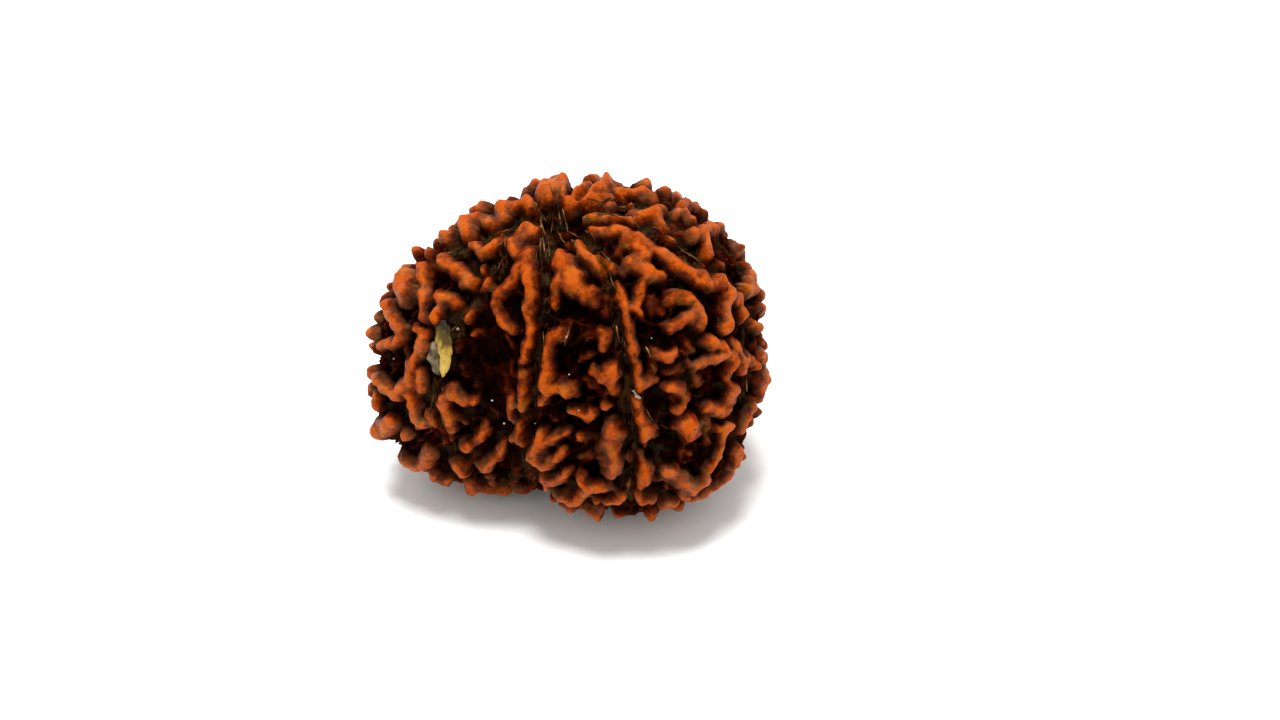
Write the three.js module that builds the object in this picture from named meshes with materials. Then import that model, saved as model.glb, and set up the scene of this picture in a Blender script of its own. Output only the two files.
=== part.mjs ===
// Gauri shankar rudraksha: two rudraksha beads that grew together as one hard stone.
// Millimetres, +Z up. The long side lies along X, the larger bead on the right, the well known face
// towards -Y. The stone rests on three of its own knobs, worn flat. The origin is on the surface
// that it rests on, under the middle of its box.

import * as THREE from 'three';
import { ConvexHull } from 'three/addons/math/ConvexHull.js';

// Driving dimensions

// The bare body without its ridges: overlapping rounds, each with its centre and radii, measured from
// the body's centre. The small bead and its belly, the saddle, and the large bead and its belly.
const ROUNDS = [
  { centre: [-5.2, 1.4, -0.9], radii: [8.9, 7.1, 9.7] },
  { centre: [-4.8, -0.2, -5.0], radii: [9.4, 5.2, 6.7] },
  { centre: [-1.2, 1.8, 1.1], radii: [8.3, 7.9, 10.5] },
  { centre: [3.7, 1.2, 0.4], radii: [10.9, 9.8, 11.4] },
  { centre: [4.5, -1.9, -4.5], radii: [9.3, 7.8, 7.2] },
];
const BLEND = 0.9; // how far the rounds melt into each other
const SKIN = 0.54; // how far the body lies inside a single round
const POLE = { depth: 1.0, spread: 0.2 }; // dimple at each end of the seams, its spread in radians

const CENTRE = new THREE.Vector3(-0.04, -0.62, 12.0); // the body's centre over the resting surface

// Ridges: rope-like folds with round tops and steep sides
const RISE = { least: 0.72, perWidth: 1.05 }; // a crest's height from its half-width
const LOW_RISE = 0.55; // the share of that height in the sunken folds
const FLANK = 0.3; // how far the foot of a ridge reaches past its half-width
const ROUNDNESS = 0.6; // under 1 gives a full top and a steep flank
const UNION = 7; // how sharply crossing ridges keep apart
const FLOOR = { depth: 0.35, under: 0.6 }; // how low the floor sinks between ridges lower than `under`

// The mesh follows the relief: its points lie on the crests, their shoulders, the valleys between
// them and the seams, and the rest is filled evenly. These are the distances between them.
const MESH = {
  along: 0.6, // from point to point along a crest
  broad: 0.68, // ridges broader than this at the foot get shoulder points
  shoulder: [0.55], // where shoulders lie, as shares of the way to the foot
  worn: [0.35, 0.65], // the same on the three knobs that are worn flat
  valley: [0.6, 0.75, 0.9, 1.05, 1.2, 1.35], // where a valley may lie, as shares of that way
  apart: 0.35, // least distance of any two points
  seam: 0.8,
  fill: 0.55,
  fillPoints: 9000, // evenly spread places tried for filling
};

// Seams: the grooves that run from pole to pole
const SEAM = { depth: 0.65, reach: 0.42, cut: 0.6 }; // cut: what it takes off a ridge that crosses

// The valley that parts the two beads in front, and the stem pit with other deep places after it, in
// the front view that VIEW describes: u, v and depth, and each pit's reach
const WAIST = {
  points: [[-5.6, 4.6, 0.2], [-6.1, 2.6, 1.2], [-6.1, 0.5, 1.6], [-5.6, -1.8, 1.3], [-5.2, -4.6, 0.7],
    [-4.4, -7.4, 0.5], [-3.2, -10.2, 0.6]],
  reach: 1.6,
  spare: 0.6, // the share of any deep place that a full ridge doesn't follow
};
const PITS = [
  [1.3, 9.3, 1.1, 0.6],
  [5.1, 10.6, 0.6, 0.7],
  [-2.9, 10.0, 0.5, 0.5],
  [11.2, -3.0, 0.9, 1.0],
  [7.5, -7.6, 0.6, 0.9],
  [9.7, -8.2, 0.5, 0.7],
  [-12.7, -4.0, 0.5, 0.7],
  [6.9, -4.1, 0.6, 0.6],
  [0.7, 3.2, 0.5, 0.6],
  [0.5, -1.0, 0.4, 0.6],
];

// Underside: three knobs carry the stone and the rest is worn lower
const FEET = [[4.6, -2.9], [4.3, 2.6], [-5.6, 0.2]]; // x and y from the body's centre
const FOOT = { halfWidth: 1.4, height: 1.9, ball: 11.2 }; // ball: what aims the knobs down from that centre
const WORN = { from: -9.6, to: -11.2, left: 0.3 }; // height range of the wear, and what it leaves

// Ridges on the sides that the front view doesn't show grow by a rule from seeded draws
const GROWTH = {
  seed: 1947,
  seeds: 1100,
  stride: 389, // the order in which the seeds are tried, so that early ridges have room to run
  step: 0.7,
  wander: 0.8,
  facing: 0.1, // how far round towards the viewer the rule may go
  full: { clear: 1.2, seamClear: 0.75, laneClear: 0.85, longest: 8, halfWidth: [0.32, 0.62], share: 1 },
  low: { clear: 1.15, seamClear: 0.7, laneClear: 0, longest: 3, halfWidth: [0.28, 0.4], share: LOW_RISE },
};

// Notches in the outline of the front view, u and v: from each of them a short lane runs on round the
// back where only low ridges grow, so that the notch stays open
const NOTCHES = {
  at: [
    [-4.9, 10.2], [-9.7, 7.5], [-14.3, -0.6], [-14.1, -4.6], [-12.6, -6.6], [-10.6, -8.8],
    [1.4, 12.0], [6.4, 11.4], [8.0, 9.9], [10.9, 8.9], [14.2, 1.3], [13.0, -6.9],
  ],
  step: 1.0,
  steps: 3,
};

// The seen face is laid out in its front view: u to the right and v up from the body's centre, looked
// at from VIEW.distance away and VIEW.tilt degrees above the level.
const VIEW = { distance: 150, tilt: 36, turn: 1 };

// Each ridge: its half-width, then the points of its crest. A third number is the half-width there.
const SEEN_RIDGES = [
  // small bead, outer shoulder
  [0.3, [-13.5, 5.0], [-13.6, 4.0]],
  [0.45, [-13.2, 3.6], [-12.6, 2.4], [-12.3, 1.9]],
  [0.95, [-11.8, 5.5], [-11.8, 4.5]],
  [0.4, [-10.5, 6.3], [-10.5, 5.2], [-10.5, 4.2], [-10.8, 2.8, 0.3]],
  [0.5, [-10.2, 7.2]],
  [0.5, [-14.2, 1.6]],
  [0.3, [-14.2, 2.8]],
  [0.3, [-13.7, 0.6], [-12.8, 1.0], [-12.4, 1.3]],
  [0.36, [-11.0, 1.0], [-11.3, 0.2], [-11.6, -0.6]],
  [0.28, [-11.3, 1.9], [-10.7, 1.6]],
  [0.36, [-9.6, 4.3], [-8.7, 4.1], [-8.0, 3.5], [-7.4, 2.9, 0.48]],
  [0.45, [-9.8, 2.8], [-9.5, 3.5, 0.3]],
  [0.3, [-7.3, 1.3], [-6.9, 1.5]],
  // small bead, top
  [0.6, [-8.6, 8.6]],
  [0.5, [-9.0, 6.8], [-8.3, 6.4], [-7.7, 5.8], [-7.1, 5.3], [-6.4, 5.2], [-5.7, 5.3]],
  [0.33, [-5.9, 6.3], [-5.8, 5.6]],
  [0.65, [-6.1, 10.6]],
  [0.75, [-6.8, 9.4]],
  [0.4, [-7.3, 9.2], [-6.5, 8.0], [-6.0, 7.3], [-5.0, 8.0], [-4.3, 8.6]],
  [0.4, [-4.9, 9.3], [-5.5, 9.8], [-6.4, 9.9]],
  [0.55, [-4.2, 10.6], [-3.4, 10.8], [-2.8, 10.7, 0.4]],
  [0.3, [-4.5, 10.4], [-4.2, 10.0]],
  [0.7, [-2.5, 8.8]],
  [0.3, [-3.3, 9.0], [-3.8, 8.4], [-3.6, 7.6]],
  // left lip of the front seam
  [0.5, [-2.6, 7.3], [-2.6, 6.4], [-2.4, 5.2], [-2.5, 4.0], [-2.6, 3.0, 0.4], [-2.4, 2.0, 0.34],
    [-2.3, 1.4, 0.36], [-2.7, 0.6, 0.45], [-3.0, -0.2, 0.45], [-3.2, -0.6, 0.3]],
  [0.4, [-3.2, 6.6], [-3.7, 5.6], [-4.5, 5.0], [-5.1, 4.2], [-5.15, 3.1], [-4.7, 2.4, 0.3],
    [-4.2, 1.9, 0.3], [-3.8, 1.7, 0.25]],
  [0.4, [-3.2, -1.5], [-3.1, -2.2], [-3.1, -3.0], [-3.3, -3.8], [-3.4, -4.3]],
  [0.36, [-4.2, -3.6], [-4.5, -4.2], [-4.3, -4.9], [-4.0, -5.4, 0.3]],
  [0.45, [-3.3, -5.4], [-3.3, -6.0], [-3.5, -6.6], [-4.2, -6.8, 0.3]],
  [0.33, [-3.4, -7.2], [-3.0, -7.6], [-2.8, -8.1]],
  // behind the upper pole
  [0.6, [-2.3, 11.0], [-1.4, 11.5, 0.7], [-0.5, 12.0, 0.95], [0.2, 12.1, 0.95]],
  [0.95, [3.6, 12.0, 0.85], [2.8, 11.7], [1.8, 11.2], [0.9, 10.8, 0.8]],
  [0.7, [0.4, 11.4], [1.4, 11.2], [2.6, 10.9], [3.6, 10.9]],
  [0.4, [4.4, 11.5], [5.2, 11.5], [6.1, 11.4], [6.9, 11.1], [7.5, 10.4]],
  [0.26, [4.8, 11.2], [5.3, 10.8]],
  [0.4, [2.2, 9.9], [3.3, 9.8], [4.5, 9.7], [5.6, 9.7, 0.5], [6.4, 9.8, 0.62], [7.0, 9.8, 0.55]],
  [0.34, [7.3, 9.2], [7.8, 8.7], [8.3, 8.1]],
  // large bead, the long shoulder ridge and what hangs from it
  [0.45, [2.4, 8.7], [3.5, 8.7], [4.5, 8.7], [5.3, 8.4], [6.0, 8.1], [6.7, 7.6], [7.5, 7.0],
    [8.3, 6.4], [9.2, 5.7], [10.0, 5.1], [11.0, 4.7], [12.0, 4.8], [12.6, 4.5], [12.4, 3.8],
    [12.1, 3.0], [12.2, 2.0], [12.1, 1.5]],
  [0.5, [5.2, 7.9], [6.2, 7.1], [6.1, 6.9]],
  [0.5, [1.6, 7.8], [2.2, 7.0, 0.6], [3.0, 6.4, 0.72], [3.4, 6.1, 0.65]],
  [0.42, [5.3, 6.5], [6.0, 6.0], [6.6, 5.6, 0.5], [7.2, 5.3]],
  [0.26, [6.3, 5.3], [6.0, 4.7], [5.95, 4.1], [5.8, 3.6, 0.3], [5.6, 3.0, 0.32], [5.8, 2.5]],
  [0.7, [-0.1, 7.3, 0.4], [0.2, 6.5], [0.4, 5.8, 0.8], [1.0, 5.0, 0.8], [1.7, 4.3, 0.85]],
  [0.26, [-0.3, 5.6], [-0.5, 4.6], [-0.6, 3.6]],
  [0.5, [4.1, 4.7, 0.35], [4.3, 4.0, 0.62], [4.4, 3.3], [4.6, 2.5, 0.36], [4.9, 1.7, 0.4],
    [5.2, 0.8, 0.45], [5.2, 0.0, 0.5], [5.2, -0.6, 0.3]],
  [0.4, [3.1, 1.2], [3.1, 0.5]],
  [0.36, [8.1, 3.7], [9.0, 3.9], [9.8, 3.5], [10.2, 2.8], [10.4, 1.8]],
  [0.35, [8.0, 1.6], [8.8, 2.0], [9.5, 2.3]],
  [0.3, [7.1, -0.5], [7.8, -0.75], [8.4, -0.5]],
  // large bead, right of the front seam
  [0.5, [-0.3, 1.3], [-0.8, 1.1], [-1.1, 0.5, 0.42], [-1.2, -0.3, 0.34], [-1.2, -1.1, 0.55],
    [-1.2, -1.8, 0.6], [-1.3, -2.6, 0.6], [-1.6, -3.4, 0.36], [-1.7, -4.0, 0.3]],
  [0.55, [-1.0, -2.8], [-0.3, -2.8], [0.3, -3.0, 0.62]],
  [0.6, [3.6, -1.5], [3.6, -2.2, 0.72], [3.8, -3.0, 0.5]],
  [0.33, [3.1, -1.9], [2.3, -1.7]],
  [0.42, [5.3, -1.3], [5.4, -2.0], [5.7, -2.6], [6.4, -2.6, 0.34], [7.0, -2.4, 0.28]],
  [0.34, [0.8, -4.7], [1.4, -5.0], [1.8, -5.2], [2.1, -4.9]],
  [0.3, [3.2, -4.3]],
  [0.35, [1.3, -6.9]],
  [0.6, [3.7, -6.0, 0.55], [3.6, -6.6, 0.7], [3.5, -7.3, 0.58], [3.6, -8.0], [3.8, -8.6],
    [3.6, -9.2, 0.5], [3.4, -9.7, 0.3]],
  [0.42, [5.4, -4.0], [5.4, -4.7], [5.7, -5.3], [6.0, -6.0, 0.5], [6.1, -6.7, 0.8]],
  [0.45, [-1.7, -6.4], [-1.8, -7.0, 0.55], [-2.1, -7.7], [-2.1, -8.4], [-1.8, -8.9, 0.36],
    [-1.2, -8.9, 0.32], [-0.7, -8.5, 0.25], [-0.2, -8.0, 0.25]],
  [0.33, [-1.5, -7.1], [-0.8, -7.0], [-0.3, -6.7], [0.2, -6.4, 0.25]],
  [0.45, [-1.6, -9.9], [-1.4, -10.2], [-0.9, -10.1, 0.36], [-0.3, -9.8, 0.3], [0.1, -9.5, 0.25]],
  [0.36, [1.2, -9.9], [1.5, -10.4], [2.1, -10.5], [2.8, -10.6, 0.5]],
  [0.6, [5.5, -8.6], [5.7, -9.2], [5.7, -9.8], [5.2, -10.3]],
  [0.36, [7.7, -9.5], [8.2, -9.8], [8.8, -10.2, 0.5], [9.4, -10.5, 0.62], [10.0, -10.3, 0.5],
    [10.4, -9.6, 0.34], [10.7, -9.0, 0.28]],
  [0.26, [11.0, -8.9], [11.4, -8.2], [11.6, -7.5], [11.8, -6.9], [12.1, -6.4, 0.45], [11.4, -6.4]],
  // large bead, far side of the shoulder
  [0.36, [8.7, 9.9], [9.2, 10.4], [9.8, 10.7], [10.4, 10.4], [10.8, 9.8]],
  [0.3, [9.3, 9.9], [9.7, 9.3]],
  [0.4, [9.8, 8.2], [10.8, 8.5], [11.6, 8.7], [12.0, 8.9]],
  [0.38, [10.8, 8.0], [10.9, 7.2], [10.8, 6.7]],
  [0.28, [13.3, 6.7], [13.9, 6.2], [14.1, 5.4], [13.9, 4.8]],
  [0.4, [12.9, 3.4], [13.5, 4.0], [14.2, 4.3]],
  [0.3, [13.2, 2.8], [13.4, 2.2]],
  [0.3, [14.6, 2.8]],
  // large bead, the ring on its right and the rim beyond
  [0.4, [10.9, 0.4], [11.6, 0.2], [12.1, -0.3], [12.5, -1.1], [12.5, -2.0], [12.45, -2.8, 0.3],
    [12.6, -3.6], [12.3, -4.3, 0.5], [12.0, -4.9], [11.3, -5.0], [10.7, -4.8]],
  [0.4, [10.1, -1.4, 0.3], [10.8, -1.1], [11.6, -0.7]],
  [0.36, [7.8, -2.95], [8.4, -3.0], [8.9, -3.4], [9.1, -3.9], [8.9, -4.4, 0.3], [8.3, -4.9, 0.3]],
  [0.68, [9.0, -5.9], [9.4, -6.6]],
  [0.26, [12.6, 0.4], [12.9, -0.1], [13.2, -0.8], [13.4, -1.5], [13.3, -2.0]],
  [0.28, [13.5, -0.9], [14.0, -1.3], [14.3, -1.6]],
  [0.3, [14.9, 0.1]],
  [0.28, [14.0, 1.7], [14.5, 1.1]],
  [0.45, [14.6, -0.6], [14.8, -1.3], [14.9, -2.1, 0.55], [15.1, -3.0, 0.65], [14.9, -3.6, 0.6], [14.4, -4.2]],
  [0.5, [14.0, -4.5], [13.8, -5.1], [13.3, -5.8, 0.36], [13.1, -6.6, 0.25]],
  // large bead, lower rim
  [0.38, [12.6, -8.0], [12.4, -8.8], [12.3, -9.6], [12.1, -10.3], [11.4, -10.6], [10.6, -11.0],
    [9.6, -11.3], [8.6, -11.2, 0.28]],
  [0.34, [3.3, -11.5], [3.8, -11.5], [4.3, -11.2, 0.28], [4.8, -11.0, 0.25], [5.3, -11.2, 0.28],
    [5.8, -11.7], [6.4, -11.9]],
  [0.34, [-0.6, -11.0], [0.0, -11.1], [0.7, -11.4], [1.2, -11.2], [1.5, -10.8]],
  [0.3, [7.2, -11.9], [8.1, -11.6]],
  [0.3, [2.4, -11.8]],
  // small bead, lower left
  [0.5, [-14.6, -1.5], [-14.0, -1.9], [-13.3, -2.7], [-12.6, -2.9]],
  [0.5, [-11.7, -1.0], [-11.9, -1.8], [-12.4, -2.5]],
  [0.4, [-11.2, -1.2], [-11.0, -2.0], [-11.05, -2.7, 0.3]],
  [0.5, [-11.8, -2.9], [-11.6, -3.7], [-11.6, -4.5], [-11.4, -5.1], [-10.9, -5.3, 0.36]],
  [0.3, [-14.1, -3.0], [-14.1, -3.9]],
  [0.62, [-13.2, -5.0], [-13.9, -5.6]],
  [0.5, [-12.2, -6.1]],
  [0.5, [-12.2, -7.7], [-11.5, -8.2], [-10.8, -8.0], [-10.6, -7.4]],
  [0.3, [-10.6, -4.7, 0.36], [-10.2, -5.2], [-9.8, -5.7], [-9.5, -6.4], [-9.3, -7.0]],
  [0.48, [-8.9, -2.8], [-9.4, -3.3], [-9.5, -4.1], [-9.3, -4.9, 0.4], [-9.0, -5.6, 0.34]],
  [0.45, [-8.7, -3.1], [-8.0, -3.6], [-7.4, -3.7, 0.34]],
  [0.58, [-7.8, -6.9], [-7.2, -6.7, 0.4], [-6.8, -6.2, 0.34], [-6.3, -5.8, 0.3]],
  [0.55, [-8.6, -8.3], [-8.2, -8.9]],
  [0.58, [-6.6, -8.6], [-6.1, -8.3, 0.4], [-5.6, -8.0, 0.34], [-5.3, -7.5, 0.34], [-5.0, -7.1, 0.3]],
  [0.34, [-10.3, -8.9], [-10.1, -9.4], [-9.6, -9.6], [-9.2, -9.4]],
  [0.6, [-7.7, -9.8, 0.45], [-6.8, -10.3], [-5.8, -10.7], [-4.7, -10.9, 0.7], [-3.6, -10.8, 0.65],
    [-2.8, -10.5, 0.4]],
];

// Sunken folds, lower and darker than the rest
const SEEN_LOW_RIDGES = [
  [0.3, [-4.1, -1.0], [-4.0, -1.6], [-3.5, -1.7]],
  [0.28, [-5.6, 3.4], [-6.2, 3.5]],
  [0.3, [1.8, 0.8], [2.6, 0.9]],
  [0.28, [1.2, -0.7], [1.9, -0.5]],
  [0.3, [6.6, 3.4], [6.6, 2.6]],
  [0.28, [9.2, 0.4], [9.6, -0.2]],
  [0.3, [8.4, -8.0], [9.0, -8.2]],
  [0.28, [6.7, -9.6], [7.3, -9.8]],
  [0.4, [-3.9, -8.8], [-4.1, -9.5], [-4.4, -10.0], [-5.2, -10.1], [-5.8, -9.6], [-6.0, -9.1]],
  [0.28, [-2.9, -8.9], [-2.9, -9.5], [-2.6, -9.9]],
  [0.28, [-8.0, 0.9], [-8.1, 0.2]],
  [0.3, [-6.9, -2.6], [-6.6, -3.2]],
  [0.28, [0.5, 2.0], [0.2, 1.0]],
  [0.28, [0.4, 7.7], [0.9, 7.2]],
  [0.3, [7.7, 8.6], [8.8, 8.0]],
  [0.3, [11.0, -2.4], [11.6, -2.0]],
  [0.3, [-12.9, 5.9], [-12.9, 5.0]],
  [0.3, [-4.2, 1.1], [-4.1, 0.4]],
  [0.3, [-5.2, -1.5], [-4.6, -2.1]],
  [0.3, [-7.9, -1.0], [-7.6, -1.8]],
  [0.28, [-7.2, 0.8], [-7.1, 0.2]],
  [0.28, [-6.3, -0.9], [-6.0, -1.5]],
  [0.28, [-4.6, -2.7], [-4.8, -3.4]],
  [0.28, [-5.7, -4.3], [-5.4, -4.9]],
  [0.28, [-6.8, -5.0], [-6.1, -5.3]],
  [0.3, [-8.2, -4.6], [-7.6, -5.1]],
  [0.3, [1.9, -2.2], [2.4, -2.8], [2.9, -3.3]],
  [0.26, [-1.1, -5.0], [-0.7, -5.3]],
  [0.28, [3.2, 3.2], [3.2, 2.4]],
  [0.3, [6.9, 3.5], [7.3, 2.6]],
  [0.3, [9.2, -1.2], [9.4, -2.0], [9.9, -2.7]],
  [0.34, [6.3, -0.2], [6.4, -1.2], [6.6, -1.8]],
  [0.28, [7.4, -1.7], [8.2, -1.6]],
  [0.34, [7.8, -3.9], [8.1, -4.2]],
  [0.34, [10.2, -5.5], [10.3, -6.3], [10.3, -7.3]],
  [0.28, [2.6, -7.6], [2.7, -8.6], [2.8, -9.2]],
  [0.28, [1.1, -8.2], [1.7, -8.0]],
  [0.32, [4.3, 7.0], [4.7, 6.3], [4.6, 5.6]],
  [0.3, [10.6, 5.9], [11.6, 5.8]],
];

// Seams of the seen face in its front view, each carried on over the hidden side by level angles from
// the front, in degrees, from its last seen point to the lower pole
const SEEN_SEAMS = [
  { points: [[-1.4, 8.1], [-1.3, 3.5], [-1.5, 1.3], [-2.2, -1.7], [-2.5, -4.0], [-2.7, -6.2],
    [-2.9, -7.9], [-2.6, -10.6]], bearing: -12 },
  { points: [[1.8, 8.0], [3.4, 5.0], [3.9, 2.0], [4.5, -1.0], [4.6, -4.0], [5.0, -8.4]], bearing: 27 },
  { points: [[2.5, 9.5], [6.3, 8.6], [10.0, 6.3], [12.7, 3.5], [13.4, 0.5], [13.3, -5.0]], bearing: 74 },
  { points: [[-3.0, 9.6], [-4.6, 6.6], [-8.0, 2.0], [-9.8, -0.9], [-9.8, -3.4], [-8.6, -6.6],
    [-7.7, -9.4]], bearing: -52 },
];
const HIDDEN_SEAMS = [-98, -140, 172, 140, 108]; // bearings of the seams on the hidden side
const SEAM_WANDER = 5; // degrees that a hidden seam strays

// The body

const DEGREE = Math.PI / 180;
const GOLDEN = Math.PI * (3 - Math.sqrt(5));
const UP = new THREE.Vector3(0, 0, 1);

// how far along a direction the body's centre looks out of one round
function exitFrom(round, direction) {
  const [x, y, z] = [direction.x, direction.y, direction.z];
  const [cx, cy, cz] = round.centre;
  const [rx, ry, rz] = round.radii;
  const a = (x / rx) ** 2 + (y / ry) ** 2 + (z / rz) ** 2;
  const b = (x * cx) / rx ** 2 + (y * cy) / ry ** 2 + (z * cz) / rz ** 2;
  const c = (cx / rx) ** 2 + (cy / ry) ** 2 + (cz / rz) ** 2 - 1;
  return (b + Math.sqrt(Math.max(b * b - a * c, 0))) / a;
}

// the body's reach in a direction: the rounds joined softly, with a dimple at each pole
function reach(direction) {
  const exits = ROUNDS.map((round) => exitFrom(round, direction));
  const longest = Math.max(...exits);
  const shares = exits.reduce((sum, exit) => sum + Math.exp((exit - longest) / BLEND), 0);
  const fromPole = Math.acos(Math.min(Math.abs(direction.z), 1));
  const dimple = POLE.depth * Math.exp(-((fromPole / POLE.spread) ** 2));
  return longest + BLEND * Math.log(shares) - SKIN - dimple;
}

function onBody(direction) {
  const unit = direction.clone().normalize();
  return unit.multiplyScalar(reach(unit));
}

function bodyNormal(direction) {
  const small = 1e-3;
  const side = new THREE.Vector3(0.3, 0.2, 0.93).cross(direction).normalize();
  const rise = direction.clone().cross(side);
  const along = (axis, amount) => onBody(direction.clone().addScaledVector(axis, amount));
  const across = along(side, small).sub(along(side, -small));
  const upward = along(rise, small).sub(along(rise, -small));
  return across.cross(upward).normalize();
}

// The front view

const turn = VIEW.turn * DEGREE;
const tilt = VIEW.tilt * DEGREE;
const toEye = new THREE.Vector3(
  Math.sin(turn) * Math.cos(tilt), -Math.cos(turn) * Math.cos(tilt), Math.sin(tilt));
const viewRight = new THREE.Vector3(Math.cos(turn), Math.sin(turn), 0);
const viewUp = toEye.clone().cross(viewRight);
const eye = toEye.clone().multiplyScalar(VIEW.distance);

// the direction in which what lies so high shows at u and v of the front view, or the nearest to it
function seenDirection(u, v, high) {
  const target = viewRight.clone().multiplyScalar(u).addScaledVector(viewUp, v);
  const ray = target.clone().sub(eye).normalize();
  const depthAt = (s) => {
    const point = eye.clone().addScaledVector(ray, s);
    return point.length() - reach(point.clone().normalize()) - high;
  };
  const near = VIEW.distance - 20;
  const step = 0.25;
  let best = near;
  for (let s = near; s < VIEW.distance + 5; s += step) {
    if (depthAt(s) < depthAt(best)) {
      best = s;
    }
    if (depthAt(s) < 0) {
      let [outside, inside] = [s - step, s];
      for (let i = 0; i < 30; i += 1) {
        const middle = (outside + inside) / 2;
        if (depthAt(middle) < 0) {
          inside = middle;
        } else {
          outside = middle;
        }
      }
      best = inside;
      break;
    }
  }
  return eye.clone().addScaledVector(ray, best).normalize();
}

function facing(direction) {
  const toViewer = eye.clone().sub(onBody(direction)).normalize();
  return bodyNormal(direction).dot(toViewer);
}

// Seams

function bearingDirection(bearing, fromTop) {
  const level = bearing * DEGREE;
  const polar = fromTop * DEGREE;
  return new THREE.Vector3(
    Math.sin(level) * Math.sin(polar), -Math.cos(level) * Math.sin(polar), Math.cos(polar));
}

function seamPaths() {
  const paths = SEEN_SEAMS.map(({ points, bearing }) => {
    const seen = points.map(([u, v]) => seenDirection(u, v, 0));
    const last = Math.acos(seen.at(-1).z) / DEGREE;
    for (let polar = last + 8; polar < 172; polar += 8) {
      seen.push(bearingDirection(bearing, polar));
    }
    return seen;
  });
  HIDDEN_SEAMS.forEach((bearing, i) => {
    const path = [];
    for (let polar = 12; polar < 172; polar += 8) {
      path.push(bearingDirection(bearing + SEAM_WANDER * Math.sin(polar / 19 + 2 * i), polar));
    }
    paths.push(path);
  });
  return paths.map((path) => path.map(onBody));
}

// Ridges

function crestHeight(halfWidth, share) {
  return share * (RISE.least + RISE.perWidth * halfWidth);
}

function ridge(points, widths, share) {
  return bounded(points, widths, widths.map((width) => crestHeight(width, share)));
}

// a ridge with the ball that holds it, outside which it has no height
function bounded(points, widths, heights) {
  const middle = points[Math.floor(points.length / 2)];
  const span = Math.max(...points.map((point) => point.distanceTo(middle)));
  return { points, widths, heights, middle, span: span + Math.max(...widths) + FLANK };
}

function seenRidges(list, share) {
  return list.map(([halfWidth, ...points]) => {
    const widths = points.map(([, , own]) => own ?? halfWidth);
    const middles = widths.map((width) => crestHeight(width, share) - width); // heights of the rope's middle
    const at = points.map(([u, v], i) => onBody(seenDirection(u, v, middles[i])));
    return ridge(at, widths, share);
  });
}

function seededDraws(seed) {
  let state = seed;
  return () => {
    state = (Math.imul(state, 1664525) + 1013904223) >>> 0;
    return state / 2 ** 32;
  };
}

function nearest(point, others) {
  return others.reduce((least, other) => Math.min(least, point.distanceTo(other)), Infinity);
}

function notchLanes() {
  return NOTCHES.at.flatMap(([u, v]) => {
    const rim = onBody(seenDirection(u, v, 0));
    return Array.from(
      { length: NOTCHES.steps }, (_, i) => onBody(rim.clone().addScaledVector(toEye, -i * NOTCHES.step)));
  });
}

// ridges for the hidden sides: each starts at a free place and wanders until it comes near another
function grownRidges(kind, taken, seamPoints, lanes) {
  const draw = seededDraws(GROWTH.seed);
  const grown = [];
  const free = (p) => nearest(p, taken) > kind.clear && nearest(p, seamPoints) > kind.seamClear
    && nearest(p, lanes) > kind.laneClear;
  for (let attempt = 0; attempt < GROWTH.seeds; attempt += 1) {
    const i = (attempt * GROWTH.stride) % GROWTH.seeds;
    const z = 1 - (2 * i + 1) / GROWTH.seeds;
    const level = Math.sqrt(1 - z * z);
    const heading = (draw() - 0.5) * Math.PI * 0.9;
    const halfWidth = THREE.MathUtils.lerp(...kind.halfWidth, draw());
    const start = new THREE.Vector3(Math.cos(i * GOLDEN) * level, Math.sin(i * GOLDEN) * level, z);
    const first = onBody(start);
    if (facing(start) > GROWTH.facing || !free(first)) {
      continue;
    }
    const path = [first];
    const up = UP.clone().addScaledVector(start, -start.z).normalize();
    let along = up.applyAxisAngle(start, heading);
    const steps = 1 + Math.floor(draw() * kind.longest);
    for (let s = 0; s < steps; s += 1) {
      const at = path.at(-1);
      const out = at.clone().normalize();
      along = along.addScaledVector(out, -along.dot(out)).normalize();
      along.applyAxisAngle(out, (draw() - 0.5) * 2 * GROWTH.wander);
      const next = onBody(at.clone().addScaledVector(along, GROWTH.step));
      if (!free(next)) {
        break;
      }
      path.push(next);
    }
    taken.push(...path);
    grown.push(ridge(path, path.map(() => halfWidth), kind.share));
  }
  return grown;
}

function footRidges() {
  return FEET.map(([x, y]) => {
    const down = new THREE.Vector3(x, y, -Math.sqrt(FOOT.ball ** 2 - x * x - y * y));
    return bounded([onBody(down)], [FOOT.halfWidth], [FOOT.height]);
  });
}

// the share along a to b of the point nearest to p
function shareAlong(p, a, b) {
  const span = b.clone().sub(a);
  return THREE.MathUtils.clamp(p.clone().sub(a).dot(span) / span.lengthSq(), 0, 1);
}

// the height that one ridge gives at a point of the body
function ridgeHeight(p, { points, widths, heights, middle, span }) {
  if (p.distanceTo(middle) > span) {
    return 0;
  }
  let highest = 0;
  for (let i = 0; i < Math.max(points.length - 1, 1); i += 1) {
    const next = Math.min(i + 1, points.length - 1);
    const share = next > i ? shareAlong(p, points[i], points[next]) : 0;
    const width = THREE.MathUtils.lerp(widths[i], widths[next], share) + FLANK;
    const height = THREE.MathUtils.lerp(heights[i], heights[next], share);
    const t = p.distanceTo(points[i].clone().lerp(points[next], share)) / width;
    if (t < 1) {
      highest = Math.max(highest, height * (1 - t * t) ** ROUNDNESS);
    }
  }
  return highest;
}

function distanceToPath(p, path) {
  let least = Infinity;
  for (let i = 0; i < path.length - 1; i += 1) {
    const share = shareAlong(p, path[i], path[i + 1]);
    least = Math.min(least, p.distanceTo(path[i].clone().lerp(path[i + 1], share)));
  }
  return least;
}

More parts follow.
